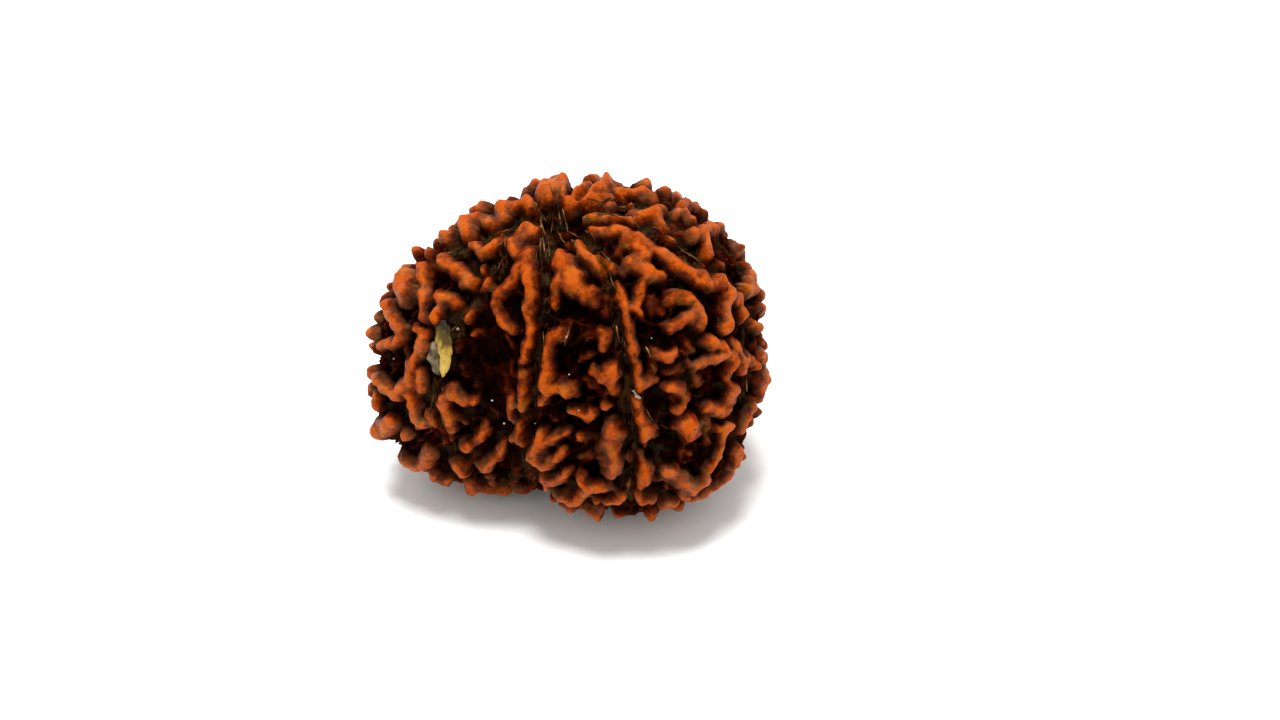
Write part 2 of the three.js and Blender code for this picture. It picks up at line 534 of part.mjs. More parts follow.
// how deep the pits and the valley between the beads go at a point of the body
function deepPlaces() {
  const seenFloor = (u, v) => onBody(seenDirection(u, v, 0));
  const pits = PITS.map(([u, v, depth, pitReach]) => ({ at: seenFloor(u, v), depth, pitReach }));
  const valley = WAIST.points.map(([u, v, depth]) => ({ at: seenFloor(u, v), depth }));
  const falling = (depth, distance, within) => depth * Math.exp(-((distance / within) ** 2));
  return (p) => {
    const inPit = pits.map(({ at, depth, pitReach }) => falling(depth, p.distanceTo(at), pitReach));
    const inValley = valley.slice(1).map((end, i) => {
      const start = valley[i];
      const share = shareAlong(p, start.at, end.at);
      const distance = p.distanceTo(start.at.clone().lerp(end.at, share));
      return falling(THREE.MathUtils.lerp(start.depth, end.depth, share), distance, WAIST.reach);
    });
    return Math.max(...inPit) + Math.max(...inValley);
  };
}

// The mesh

// points along a path at even distances, each with what lies between the path's own points
function evenly(path, distance) {
  const result = [{ i: 0, share: 0 }];
  for (let i = 0; i < path.length - 1; i += 1) {
    const pieces = Math.max(1, Math.round(path[i].distanceTo(path[i + 1]) / distance));
    for (let k = 1; k <= pieces; k += 1) {
      result.push({ i, share: k / pieces });
    }
  }
  return result;
}

// the crest of one ridge, its shoulders, and the lowest places beside it
function ridgeMesh({ points, widths }, relief) {
  const [crest, shoulders, valleys] = [[], [], []];
  const beside = (at, side, distance) => onBody(at.clone().addScaledVector(side, distance));
  const lowest = (places) => places.reduce((low, place) => (relief(place) < relief(low) ? place : low));
  const lastPoint = points.length - 1;
  for (const { i, share } of evenly(points, MESH.along)) {
    const next = Math.min(i + 1, lastPoint);
    const at = points[i].clone().lerp(points[next], share);
    const width = THREE.MathUtils.lerp(widths[i], widths[next], share) + FLANK;
    const out = at.clone().normalize();
    const along = lastPoint > 0 ? points[next].clone().sub(points[i]).normalize() : viewRight.clone();
    const side = out.clone().cross(along).normalize();
    crest.push(onBody(at));
    const ends = (i === 0 && share === 0) || (next === lastPoint && share === 1);
    const turns = ends || lastPoint === 0 ? [0, 60, 120, 180, 240, 300] : [90, 270];
    for (const angle of turns) {
      const away = side.clone().applyAxisAngle(out, (angle - 90) * DEGREE);
      valleys.push(lowest(MESH.valley.map((way) => beside(at, away, way * width))));
      if (width > MESH.broad) {
        const ways = width > FOOT.halfWidth ? MESH.worn : MESH.shoulder;
        shoulders.push(...ways.map((way) => beside(at, away, way * width)));
      }
    }
  }
  return { crest, shoulders, valleys };
}

function meshDirections(ridges, seams, relief) {
  const chosen = [];
  const take = (candidates, apart) => {
    for (const p of candidates) {
      if (nearest(p, chosen) > apart) {
        chosen.push(p);
      }
    }
  };
  const parts = ridges.map((one) => ridgeMesh(one, relief));
  take(parts.flatMap(({ crest }) => crest), MESH.apart);
  take(seams.flatMap((path) => evenly(path, MESH.seam).map(
    ({ i, share }) => onBody(path[i].clone().lerp(path[i + 1], share)))), MESH.apart);
  take(parts.flatMap(({ valleys }) => valleys), MESH.apart);
  take(parts.flatMap(({ shoulders }) => shoulders), MESH.apart);
  const fill = Array.from({ length: MESH.fillPoints }, (_, i) => {
    const z = 1 - (2 * i + 1) / MESH.fillPoints;
    const level = Math.sqrt(1 - z * z);
    return onBody(new THREE.Vector3(Math.cos(i * GOLDEN) * level, Math.sin(i * GOLDEN) * level, z));
  });
  take(fill, MESH.fill);
  return chosen.map((p) => p.normalize());
}

// the closed net of triangles that joins points on a unit ball, which is the net of their hull
function netOf(directions) {
  const order = new Map(directions.map((direction, i) => [direction, i]));
  const hull = new ConvexHull().setFromPoints(directions);
  return hull.faces.flatMap((face) => {
    const corners = [face.getEdge(0), face.getEdge(1), face.getEdge(2)];
    return corners.map((edge) => order.get(edge.head().point));
  });
}

// The stone

function stoneGeometry() {
  const seams = seamPaths();
  const feet = footRidges();
  const ridges = [...seenRidges(SEEN_RIDGES, 1), ...seenRidges(SEEN_LOW_RIDGES, LOW_RISE)];
  const taken = [...ridges, ...feet].flatMap(({ points }) => points);
  ridges.push(...grownRidges(GROWTH.full, taken, seams.flat(), notchLanes()));
  ridges.push(...grownRidges(GROWTH.low, taken, seams.flat(), notchLanes()));
  const deep = deepPlaces();

  const union = (p, list) => list.reduce((sum, one) => sum + ridgeHeight(p, one) ** UNION, 0) ** (1 / UNION);
  const relief = (p) => {
    const groove = Math.exp(-((Math.min(...seams.map((path) => distanceToPath(p, path))) / SEAM.reach) ** 2));
    const wear = THREE.MathUtils.smoothstep(p.z, WORN.to, WORN.from);
    const worn = THREE.MathUtils.lerp(WORN.left, 1, wear);
    const raised = union(p, ridges);
    const floor = FLOOR.depth * Math.max(1 - raised / FLOOR.under, 0);
    const sunk = floor + SEAM.depth * groove + deep(p) * (1 - WAIST.spare * Math.min(raised, 1));
    return Math.max(raised * (1 - SEAM.cut * groove) * worn - sunk, union(p, feet));
  };

  const directions = meshDirections([...feet, ...ridges], seams, relief);
  const places = directions.flatMap((direction) => {
    const p = onBody(direction);
    p.addScaledVector(bodyNormal(direction), relief(p)).add(CENTRE);
    return [p.x, p.y, Math.max(p.z, 0)];
  });
  const geometry = new THREE.BufferGeometry();
  geometry.setAttribute('position', new THREE.Float32BufferAttribute(places, 3));
  geometry.setIndex(netOf(directions));
  geometry.computeVertexNormals();
  return geometry;
}

const stone = new THREE.Mesh(
  stoneGeometry(),
  new THREE.MeshStandardMaterial({ color: 0x7f4220, roughness: 0.6, metalness: 0 }),
);
stone.name = 'joined_beads';

const rudraksha = new THREE.Group();
rudraksha.add(stone);

export default rudraksha;
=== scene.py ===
import math
import bpy
import numpy as np
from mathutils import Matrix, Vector, noise


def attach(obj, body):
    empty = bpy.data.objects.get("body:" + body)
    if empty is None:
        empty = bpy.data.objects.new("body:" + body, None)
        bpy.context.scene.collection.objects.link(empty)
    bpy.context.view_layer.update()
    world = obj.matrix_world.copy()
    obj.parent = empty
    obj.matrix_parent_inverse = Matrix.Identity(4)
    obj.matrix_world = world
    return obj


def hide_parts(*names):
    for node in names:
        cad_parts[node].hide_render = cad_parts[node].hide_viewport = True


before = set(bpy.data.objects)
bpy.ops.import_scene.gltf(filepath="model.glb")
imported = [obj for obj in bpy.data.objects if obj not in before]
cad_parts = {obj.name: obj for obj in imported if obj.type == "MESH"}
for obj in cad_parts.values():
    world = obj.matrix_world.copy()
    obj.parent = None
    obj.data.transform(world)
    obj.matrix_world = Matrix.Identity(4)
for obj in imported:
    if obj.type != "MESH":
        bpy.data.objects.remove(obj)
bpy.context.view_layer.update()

# Shapes are worked out in millimetres from the middle of the stone, and made in metres.
mm = 0.001

body = {
    "centre": (-0.04, -0.62, 12.0),  # over the surface that the stone rests on
    "rounds": [  # centre and radii: small bead and its foot, saddle, large bead and its foot
        ((-5.2, 1.4, -0.9), (8.9, 7.1, 9.7)),
        ((-4.8, -0.2, -5.0), (9.4, 5.2, 6.7)),
        ((-1.2, 1.8, 1.1), (8.3, 7.9, 10.5)),
        ((3.7, 1.2, 0.4), (10.9, 9.8, 11.4)),
        ((4.5, -1.9, -4.5), (9.3, 7.8, 7.2)),
    ],
    "blend": 0.9,
    "skin": 0.54,
    "poleDepth": 1.0,
    "poleSpread": 0.2,
}

lens = {
    "turn": 1.0,  # degrees to the right of straight ahead
    "tilt": 36.0,  # degrees above the level
    "distance": 150.0,
    "pixelsPerMm": 13.4,  # at the middle of the stone
    "middlePixel": (566, 347),  # where that middle lies in the frame below
    "frame": (1280, 720),
    "sensor": 36.0,
    "search": (20, 5, 0.25, 30),  # along a line of sight: before and past the middle, step, halvings
}


def unit(v):
    return v / np.linalg.norm(v, axis=-1, keepdims=True)


def exitFrom(centre, radii, d):
    # how far along the directions d the middle looks out of one round
    c, r = np.array(centre), np.array(radii)
    a = ((d / r) ** 2).sum(-1)
    b = (d * c / r**2).sum(-1)
    rest = ((c / r) ** 2).sum() - 1
    return (b + np.sqrt(np.maximum(b * b - a * rest, 0))) / a


def reach(d):
    exits = np.stack([exitFrom(c, r, d) for c, r in body["rounds"]])
    longest = exits.max(0)
    shares = np.exp((exits - longest) / body["blend"]).sum(0)
    fromPole = np.arccos(np.minimum(np.abs(d[..., 2]), 1))
    dimple = body["poleDepth"] * np.exp(-((fromPole / body["poleSpread"]) ** 2))
    return longest + body["blend"] * np.log(shares) - body["skin"] - dimple


def onBody(d):
    d = unit(np.asarray(d, float))
    return d * reach(d)[..., None]


def bodyNormal(d):
    small = 1e-3
    side = unit(np.cross((0.3, 0.2, 0.93), d))
    rise = np.cross(d, side)
    across = onBody(d + side * small) - onBody(d - side * small)
    upward = onBody(d + rise * small) - onBody(d - rise * small)
    return unit(np.cross(across, upward))


# The front view: right, up and towards the eye
turn, tilt = math.radians(lens["turn"]), math.radians(lens["tilt"])
toEye = np.array((math.sin(turn) * math.cos(tilt), -math.cos(turn) * math.cos(tilt), math.sin(tilt)))
viewRight = np.array((math.cos(turn), math.sin(turn), 0.0))
viewUp = np.cross(toEye, viewRight)
eye = toEye * lens["distance"]


def seenDirection(u, v, high=0.0):
    # where what lies so high shows at u to the right and v up in the front view
    ray = unit(viewRight * u + viewUp * v - eye)

    def outside(s):
        p = eye + np.asarray(s)[..., None] * ray
        return np.linalg.norm(p, axis=-1) - reach(unit(p)) - high

    nearer, farther, step, halvings = lens["search"]
    depths = np.arange(lens["distance"] - nearer, lens["distance"] + farther, step)
    gaps = outside(depths)
    hits = np.nonzero(gaps < 0)[0]
    if len(hits) == 0:
        return unit(eye + depths[gaps.argmin()] * ray)
    before, within = depths[hits[0]] - step, depths[hits[0]]
    for _ in range(halvings):
        middle = (before + within) / 2
        if outside(middle) < 0:
            within = middle
        else:
            before = middle
    return unit(eye + within * ray)


def seenPoint(u, v, high=0.0):
    return onBody(seenDirection(u, v, high))


def facing(d):
    return (bodyNormal(d) * unit(eye - onBody(d))).sum(-1)


# Camera and floor first, then the stone

def makeCamera():
    data = bpy.data.cameras.new("camera")
    camera = bpy.data.objects.new("camera", data)
    bpy.context.collection.objects.link(camera)
    perMm = lens["pixelsPerMm"]
    width, height = lens["frame"]
    across = (width / 2 - lens["middlePixel"][0]) / perMm
    upward = (lens["middlePixel"][1] - height / 2) / perMm
    middle = np.array(body["centre"])
    target = middle + viewRight * across + viewUp * upward
    place = middle + eye
    data.sensor_width = lens["sensor"]
    data.lens = perMm * lens["distance"] * lens["sensor"] / width
    camera.location = Vector(place * mm)
    camera.rotation_euler = Vector(target - place).to_track_quat("-Z", "Y").to_euler()
    data.clip_start, data.clip_end = 0.01, 10
    bpy.context.scene.camera = camera


makeCamera()
print("camera placed")

ridgeForm = {
    "least": 0.72,  # height of a crest without width
    "perWidth": 1.05,  # what each millimetre of half-width adds
    "lowShare": 0.55,  # height of the sunken folds
    "flank": 0.26,  # how far the foot reaches past the half-width
    "power": 2.4,
    "roundness": 0.7,
    "skirt": (0.35, 0.6),  # share of the height, reach past the foot
    "union": 4,
    # amounts, lumps per millimetre and shifts of the noise
    "stray": ((0.22, 0.8), (0.12, 2.0)),  # how far a ridge is pulled sideways
    "strayShifts": (1.0, 11.0, 23.0),
    "swell": (0.42, 1.3, 5.0),  # how much its width changes along the way
    "lump": (0.3, 1.1, 17.0),  # and its height
    "crownPower": 1.25,  # how broad the bright middle of a crest is, with painted shade on the flanks beside it
}

hollows = {
    "depth": 0.9,  # of the floor between ridges, below the body
    "under": 0.6,  # ridges lower than this let the floor through
    "veins": (  # finer folds on that floor: height, lines per millimetre, thickness, shift of the noise
        (1.25, 0.55, 0.2, 31.0),
        (0.95, 1.05, 0.24, 47.0),
    ),
    "grain": ((0.18, 1.6), (0.09, 3.6)),  # height and lumps per millimetre
    "grainShift": 3.0,
}

seam = {
    "depth": 0.8,
    "reach": 0.28,
    "cut": 0.6,
    "margin": 0.8,  # how far dust and fibres lie from it
    "polar": (12, 172, 8),  # degrees from the upper pole: start, end and step of its points
    "wander": 5,
}
waist = {  # the valley between the beads
    "points": [  # u, v, depth
        (-5.6, 4.6, 0.2), (-6.1, 2.6, 1.2), (-6.1, 0.5, 1.6), (-5.6, -1.8, 1.3),
        (-5.2, -4.6, 0.7), (-4.4, -7.4, 0.5), (-3.2, -10.2, 0.6),
    ],
    "reach": 1.6,
    "spare": 0.6,  # a ridge keeps up this share of its height
}
pits = [  # u, v, depth, reach
    (1.3, 9.3, 1.1, 0.6),
    (5.1, 10.6, 0.6, 0.7),
    (-2.9, 10.0, 0.5, 0.5),
    (11.3, -2.6, 1.1, 1.0),
    (7.5, -7.6, 0.6, 0.9),
    (9.7, -8.2, 0.5, 0.7),
    (-12.7, -4.0, 0.5, 0.7),
    (6.9, -4.1, 0.6, 0.6),
    (0.7, 3.2, 0.5, 0.6),
    (0.5, -1.0, 0.4, 0.6),
]
feet = {  # the worn knobs underneath: x and y, and how far from the middle they start
    "at": [(4.6, -2.9), (4.3, 2.6), (-5.6, 0.2)],
    "ball": 11.2,
    "halfWidth": 1.4,
    "height": 1.9,
}
worn = {"from": -9.6, "to": -11.2, "left": 0.3}  # the relief is lower towards the underside

growth = {
    "seed": 1947,
    "seeds": 1100,
    "stride": 389,
    "step": 0.7,
    "heading": 0.9,  # how far from upright a ridge may start, of a half turn in all
    "wander": 0.8,
    "facing": 0.1,  # a place that faces the eye more than this is left to the seen ridges
    "full": {
        "clear": 1.2, "seamClear": 0.75, "laneClear": 0.85,
        "longest": 8, "halfWidth": (0.32, 0.62), "share": 1,
    },
    "low": {
        "clear": 1.15, "seamClear": 0.7, "laneClear": 0,
        "longest": 3, "halfWidth": (0.28, 0.4), "share": 0.55,
    },
}

notches = {  # short lanes without tall grown ridges, from notches in the outline on round the back
    "at": [  # u, v
        (-4.9, 10.2), (-9.7, 7.5), (-14.3, -0.6), (-14.1, -4.6), (-12.6, -6.6), (-10.6, -8.8),
        (1.4, 12.0), (6.4, 11.4), (8.0, 9.9), (10.9, 8.9), (14.2, 1.3), (13.0, -6.9),
    ],
    "step": 1.0,
    "steps": 3,
}

# each ridge of the seen face: half-width, then crest points u, v and sometimes their own half-width
seenRidges = [
    # small bead, outer shoulder
    (0.3, (-13.5, 5.0), (-13.6, 4.0)),
    (0.45, (-13.2, 3.6), (-12.6, 2.4), (-12.3, 1.9)),
    (0.95, (-11.8, 5.5), (-11.8, 4.5)),
    (0.4, (-10.5, 6.3), (-10.5, 5.2), (-10.5, 4.2), (-10.8, 2.8, 0.3)),
    (0.5, (-10.2, 7.2)),
    (0.5, (-14.2, 1.6)),
    (0.3, (-14.2, 2.8)),
    (0.3, (-13.7, 0.6), (-12.8, 1.0), (-12.4, 1.3)),
    (0.36, (-11.0, 1.0), (-11.3, 0.2), (-11.6, -0.6)),
    (0.28, (-11.3, 1.9), (-10.7, 1.6)),
    (0.36, (-9.6, 4.3), (-8.7, 4.1), (-8.0, 3.5), (-7.4, 2.9, 0.48)),
    (0.45, (-9.8, 2.8), (-9.5, 3.5, 0.3)),
    (0.3, (-7.3, 1.3), (-6.9, 1.5)),
    # small bead, top
    (0.6, (-8.6, 8.6)),
    (0.5, (-9.0, 6.8), (-8.3, 6.4), (-7.7, 5.8), (-7.1, 5.3), (-6.4, 5.2), (-5.7, 5.3)),
    (0.33, (-5.9, 6.3), (-5.8, 5.6)),
    (0.65, (-6.1, 10.6)),
    (0.75, (-6.8, 9.4)),
    (0.4, (-7.3, 9.2), (-6.5, 8.0), (-6.0, 7.3), (-5.0, 8.0), (-4.3, 8.6)),
    (0.4, (-4.9, 9.3), (-5.5, 9.8), (-6.4, 9.9)),
    (0.55, (-4.2, 10.6), (-3.4, 10.8), (-2.8, 10.7, 0.4)),
    (0.3, (-4.5, 10.4), (-4.2, 10.0)),
    (0.7, (-2.5, 8.8)),
    (0.3, (-3.3, 9.0), (-3.8, 8.4), (-3.6, 7.6)),
    # left lip of the front seam
    (0.5, (-2.6, 7.3), (-2.6, 6.4), (-2.4, 5.2), (-2.5, 4.0), (-2.6, 3.0, 0.4), (-2.4, 2.0, 0.34),
      (-2.3, 1.4, 0.36), (-2.7, 0.6, 0.45), (-3.0, -0.2, 0.45), (-3.2, -0.6, 0.3)),
    (0.4, (-3.2, 6.6), (-3.7, 5.6), (-4.5, 5.0), (-5.1, 4.2), (-5.15, 3.1), (-4.7, 2.4, 0.3),
      (-4.2, 1.9, 0.3), (-3.8, 1.7, 0.25)),
    (0.4, (-3.2, -1.5), (-3.1, -2.2), (-3.1, -3.0), (-3.3, -3.8), (-3.4, -4.3)),
    (0.36, (-4.2, -3.6), (-4.5, -4.2), (-4.3, -4.9), (-4.0, -5.4, 0.3)),
    (0.45, (-3.3, -5.4), (-3.3, -6.0), (-3.5, -6.6), (-4.2, -6.8, 0.3)),
    (0.33, (-3.4, -7.2), (-3.0, -7.6), (-2.8, -8.1)),
    # behind the upper pole
    (0.6, (-2.3, 11.0), (-1.4, 11.5, 0.7), (-0.5, 12.0, 0.95), (0.2, 12.1, 0.95)),
    (0.95, (3.6, 12.0, 0.85), (2.8, 11.7), (1.8, 11.2), (0.9, 10.8, 0.8)),
    (0.7, (0.4, 11.4), (1.4, 11.2), (2.6, 10.9), (3.6, 10.9)),
    (0.4, (4.4, 11.5), (5.2, 11.5), (6.1, 11.4), (6.9, 11.1), (7.5, 10.4)),
    (0.26, (4.8, 11.2), (5.3, 10.8)),
    (0.4, (2.2, 9.9), (3.3, 9.8), (4.5, 9.7), (5.6, 9.7, 0.5), (6.4, 9.8, 0.62), (7.0, 9.8, 0.55)),
    (0.34, (7.3, 9.2), (7.8, 8.7), (8.3, 8.1)),
    # large bead, the long shoulder ridge and what hangs from it
    (0.45, (2.4, 8.7), (3.5, 8.7), (4.5, 8.7), (5.3, 8.4), (6.0, 8.1), (6.7, 7.6), (7.5, 7.0),
      (8.3, 6.4), (9.2, 5.7), (10.0, 5.1), (11.0, 4.7), (12.0, 4.8), (12.6, 4.5), (12.4, 3.8),
      (12.1, 3.0), (12.2, 2.0), (12.1, 1.5)),
    (0.5, (5.2, 7.9), (6.2, 7.1), (6.1, 6.9)),
    (0.5, (1.6, 7.8), (2.2, 7.0, 0.6), (3.0, 6.4, 0.72), (3.4, 6.1, 0.65)),
    (0.42, (5.3, 6.5), (6.0, 6.0), (6.6, 5.6, 0.5), (7.2, 5.3)),
    (0.26, (6.3, 5.3), (6.0, 4.7), (5.95, 4.1), (5.8, 3.6, 0.3), (5.6, 3.0, 0.32), (5.8, 2.5)),
    (0.7, (-0.1, 7.3, 0.4), (0.2, 6.5), (0.4, 5.8, 0.8), (1.0, 5.0, 0.8), (1.7, 4.3, 0.85)),
    (0.26, (-0.3, 5.6), (-0.5, 4.6), (-0.6, 3.6)),
    (0.5, (4.1, 4.7, 0.35), (4.3, 4.0, 0.62), (4.4, 3.3), (4.6, 2.5, 0.36), (4.9, 1.7, 0.4),
      (5.2, 0.8, 0.45), (5.2, 0.0, 0.5), (5.2, -0.6, 0.3)),
    (0.4, (3.1, 1.2), (3.1, 0.5)),
    (0.36, (8.1, 3.7), (9.0, 3.9), (9.8, 3.5), (10.2, 2.8), (10.4, 1.8)),
    (0.35, (8.0, 1.6), (8.8, 2.0), (9.5, 2.3)),
    (0.3, (7.1, -0.5), (7.8, -0.75), (8.4, -0.5)),
    # large bead, right of the front seam
    (0.5, (-0.3, 1.3), (-0.8, 1.1), (-1.1, 0.5, 0.42), (-1.2, -0.3, 0.34), (-1.2, -1.1, 0.55),
      (-1.2, -1.8, 0.6), (-1.3, -2.6, 0.6), (-1.6, -3.4, 0.36), (-1.7, -4.0, 0.3)),
    (0.55, (-1.0, -2.8), (-0.3, -2.8), (0.3, -3.0, 0.62)),
    (0.6, (3.6, -1.5), (3.6, -2.2, 0.72), (3.8, -3.0, 0.5)),
    (0.33, (3.1, -1.9), (2.3, -1.7)),
    (0.42, (5.3, -1.3), (5.4, -2.0), (5.7, -2.6), (6.4, -2.6, 0.34), (7.0, -2.4, 0.28)),
    (0.34, (0.8, -4.7), (1.4, -5.0), (1.8, -5.2), (2.1, -4.9)),
    (0.3, (3.2, -4.3)),
    (0.35, (1.3, -6.9)),
    (0.6, (3.7, -6.0, 0.55), (3.6, -6.6, 0.7), (3.5, -7.3, 0.58), (3.6, -8.0), (3.8, -8.6),
      (3.6, -9.2, 0.5), (3.4, -9.7, 0.3)),
    (0.42, (5.4, -4.0), (5.4, -4.7), (5.7, -5.3), (6.0, -6.0, 0.5), (6.1, -6.7, 0.8)),
    (0.45, (-1.7, -6.4), (-1.8, -7.0, 0.55), (-2.1, -7.7), (-2.1, -8.4), (-1.8, -8.9, 0.36),
      (-1.2, -8.9, 0.32), (-0.7, -8.5, 0.25), (-0.2, -8.0, 0.25)),
    (0.33, (-1.5, -7.1), (-0.8, -7.0), (-0.3, -6.7), (0.2, -6.4, 0.25)),
    (0.45, (-1.6, -9.9), (-1.4, -10.2), (-0.9, -10.1, 0.36), (-0.3, -9.8, 0.3), (0.1, -9.5, 0.25)),
    (0.36, (1.2, -9.9), (1.5, -10.4), (2.1, -10.5), (2.8, -10.6, 0.5)),
    (0.6, (5.5, -8.6), (5.7, -9.2), (5.7, -9.8), (5.2, -10.3)),
    (0.36, (7.7, -9.5), (8.2, -9.8), (8.8, -10.2, 0.5), (9.4, -10.5, 0.62), (10.0, -10.3, 0.5),
      (10.4, -9.6, 0.34), (10.7, -9.0, 0.28)),
    (0.26, (11.0, -8.9), (11.4, -8.2), (11.6, -7.5), (11.8, -6.9), (12.1, -6.4, 0.45), (11.4, -6.4)),
    # large bead, far side of the shoulder
    (0.36, (8.7, 9.9), (9.2, 10.4), (9.8, 10.7), (10.4, 10.4), (10.8, 9.8)),
    (0.3, (9.3, 9.9), (9.7, 9.3)),
    (0.4, (9.8, 8.2), (10.8, 8.5), (11.6, 8.7), (12.0, 8.9)),
    (0.38, (10.8, 8.0), (10.9, 7.2), (10.8, 6.7)),
    (0.28, (13.3, 6.7), (13.9, 6.2), (14.1, 5.4), (13.9, 4.8)),
    (0.4, (12.9, 3.4), (13.5, 4.0), (14.2, 4.3)),
    (0.3, (13.2, 2.8), (13.4, 2.2)),
    (0.3, (14.6, 2.8)),
    # large bead, the ring on its right and the rim beyond
    (0.4, (10.9, 0.4), (11.6, 0.2), (12.1, -0.3), (12.5, -1.1), (12.5, -2.0), (12.45, -2.8, 0.3),
      (12.6, -3.6), (12.3, -4.3, 0.5), (12.0, -4.9), (11.3, -5.0), (10.7, -4.8)),
    (0.4, (10.1, -1.4, 0.3), (10.8, -1.1), (11.6, -0.7)),
    (0.36, (7.8, -2.95), (8.4, -3.0), (8.9, -3.4), (9.1, -3.9), (8.9, -4.4, 0.3), (8.3, -4.9, 0.3)),
    (0.68, (9.0, -5.9), (9.4, -6.6)),
    (0.26, (12.6, 0.4), (12.9, -0.1), (13.2, -0.8), (13.4, -1.5), (13.3, -2.0)),
    (0.28, (13.5, -0.9), (14.0, -1.3), (14.3, -1.6)),
    (0.3, (14.9, 0.1)),
    (0.28, (14.0, 1.7), (14.5, 1.1)),
    (0.45, (14.6, -0.6), (14.8, -1.3), (14.9, -2.1, 0.55), (15.1, -3.0, 0.65), (14.9, -3.6, 0.6),
     (14.4, -4.2)),
    (0.5, (14.0, -4.5), (13.8, -5.1), (13.3, -5.8, 0.36), (13.1, -6.6, 0.25)),
    # large bead, lower rim
    (0.38, (12.6, -8.0), (12.4, -8.8), (12.3, -9.6), (12.1, -10.3), (11.4, -10.6), (10.6, -11.0),
      (9.6, -11.3), (8.6, -11.2, 0.28)),
    (0.34, (3.3, -11.5), (3.8, -11.5), (4.3, -11.2, 0.28), (4.8, -11.0, 0.25), (5.3, -11.2, 0.28),
      (5.8, -11.5), (6.4, -11.5)),
    (0.34, (-0.6, -11.0), (0.0, -11.1), (0.7, -11.4), (1.2, -11.2), (1.5, -10.8)),
    (0.3, (7.2, -11.9), (8.1, -11.6)),
    (0.3, (2.4, -11.4)),
    # small bead, lower left
    (0.5, (-14.6, -1.5), (-14.0, -1.9), (-13.3, -2.7), (-12.6, -2.9)),
    (0.5, (-11.7, -1.0), (-11.9, -1.8), (-12.4, -2.5)),
    (0.4, (-11.2, -1.2), (-11.0, -2.0), (-11.05, -2.7, 0.3)),
    (0.5, (-11.8, -2.9), (-11.6, -3.7), (-11.6, -4.5), (-11.4, -5.1), (-10.9, -5.3, 0.36)),
    (0.3, (-14.1, -3.0), (-14.1, -3.9)),
    (0.62, (-13.2, -5.0), (-13.9, -5.6)),
    (0.5, (-12.2, -6.1)),
    (0.5, (-12.2, -7.7), (-11.5, -8.2), (-10.8, -8.0), (-10.6, -7.4)),
    (0.3, (-10.6, -4.7, 0.36), (-10.2, -5.2), (-9.8, -5.7), (-9.5, -6.4), (-9.3, -7.0)),
    (0.48, (-8.9, -2.8), (-9.4, -3.3), (-9.5, -4.1), (-9.3, -4.9, 0.4), (-9.0, -5.6, 0.34)),
    (0.45, (-8.7, -3.1), (-8.0, -3.6), (-7.4, -3.7, 0.34)),
    (0.58, (-7.8, -6.9), (-7.2, -6.7, 0.4), (-6.8, -6.2, 0.34), (-6.3, -5.8, 0.3)),
    (0.55, (-8.6, -8.3), (-8.2, -8.9)),
    (0.58, (-6.6, -8.6), (-6.1, -8.3, 0.4), (-5.6, -8.0, 0.34), (-5.3, -7.5, 0.34), (-5.0, -7.1, 0.3)),
    (0.34, (-10.3, -8.9), (-10.1, -9.4), (-9.6, -9.6), (-9.2, -9.4)),
    (0.6, (-7.7, -9.8, 0.45), (-6.8, -10.3), (-5.8, -10.7), (-4.7, -10.9, 0.7), (-3.6, -10.8, 0.65),
      (-2.8, -10.5, 0.4)),
]

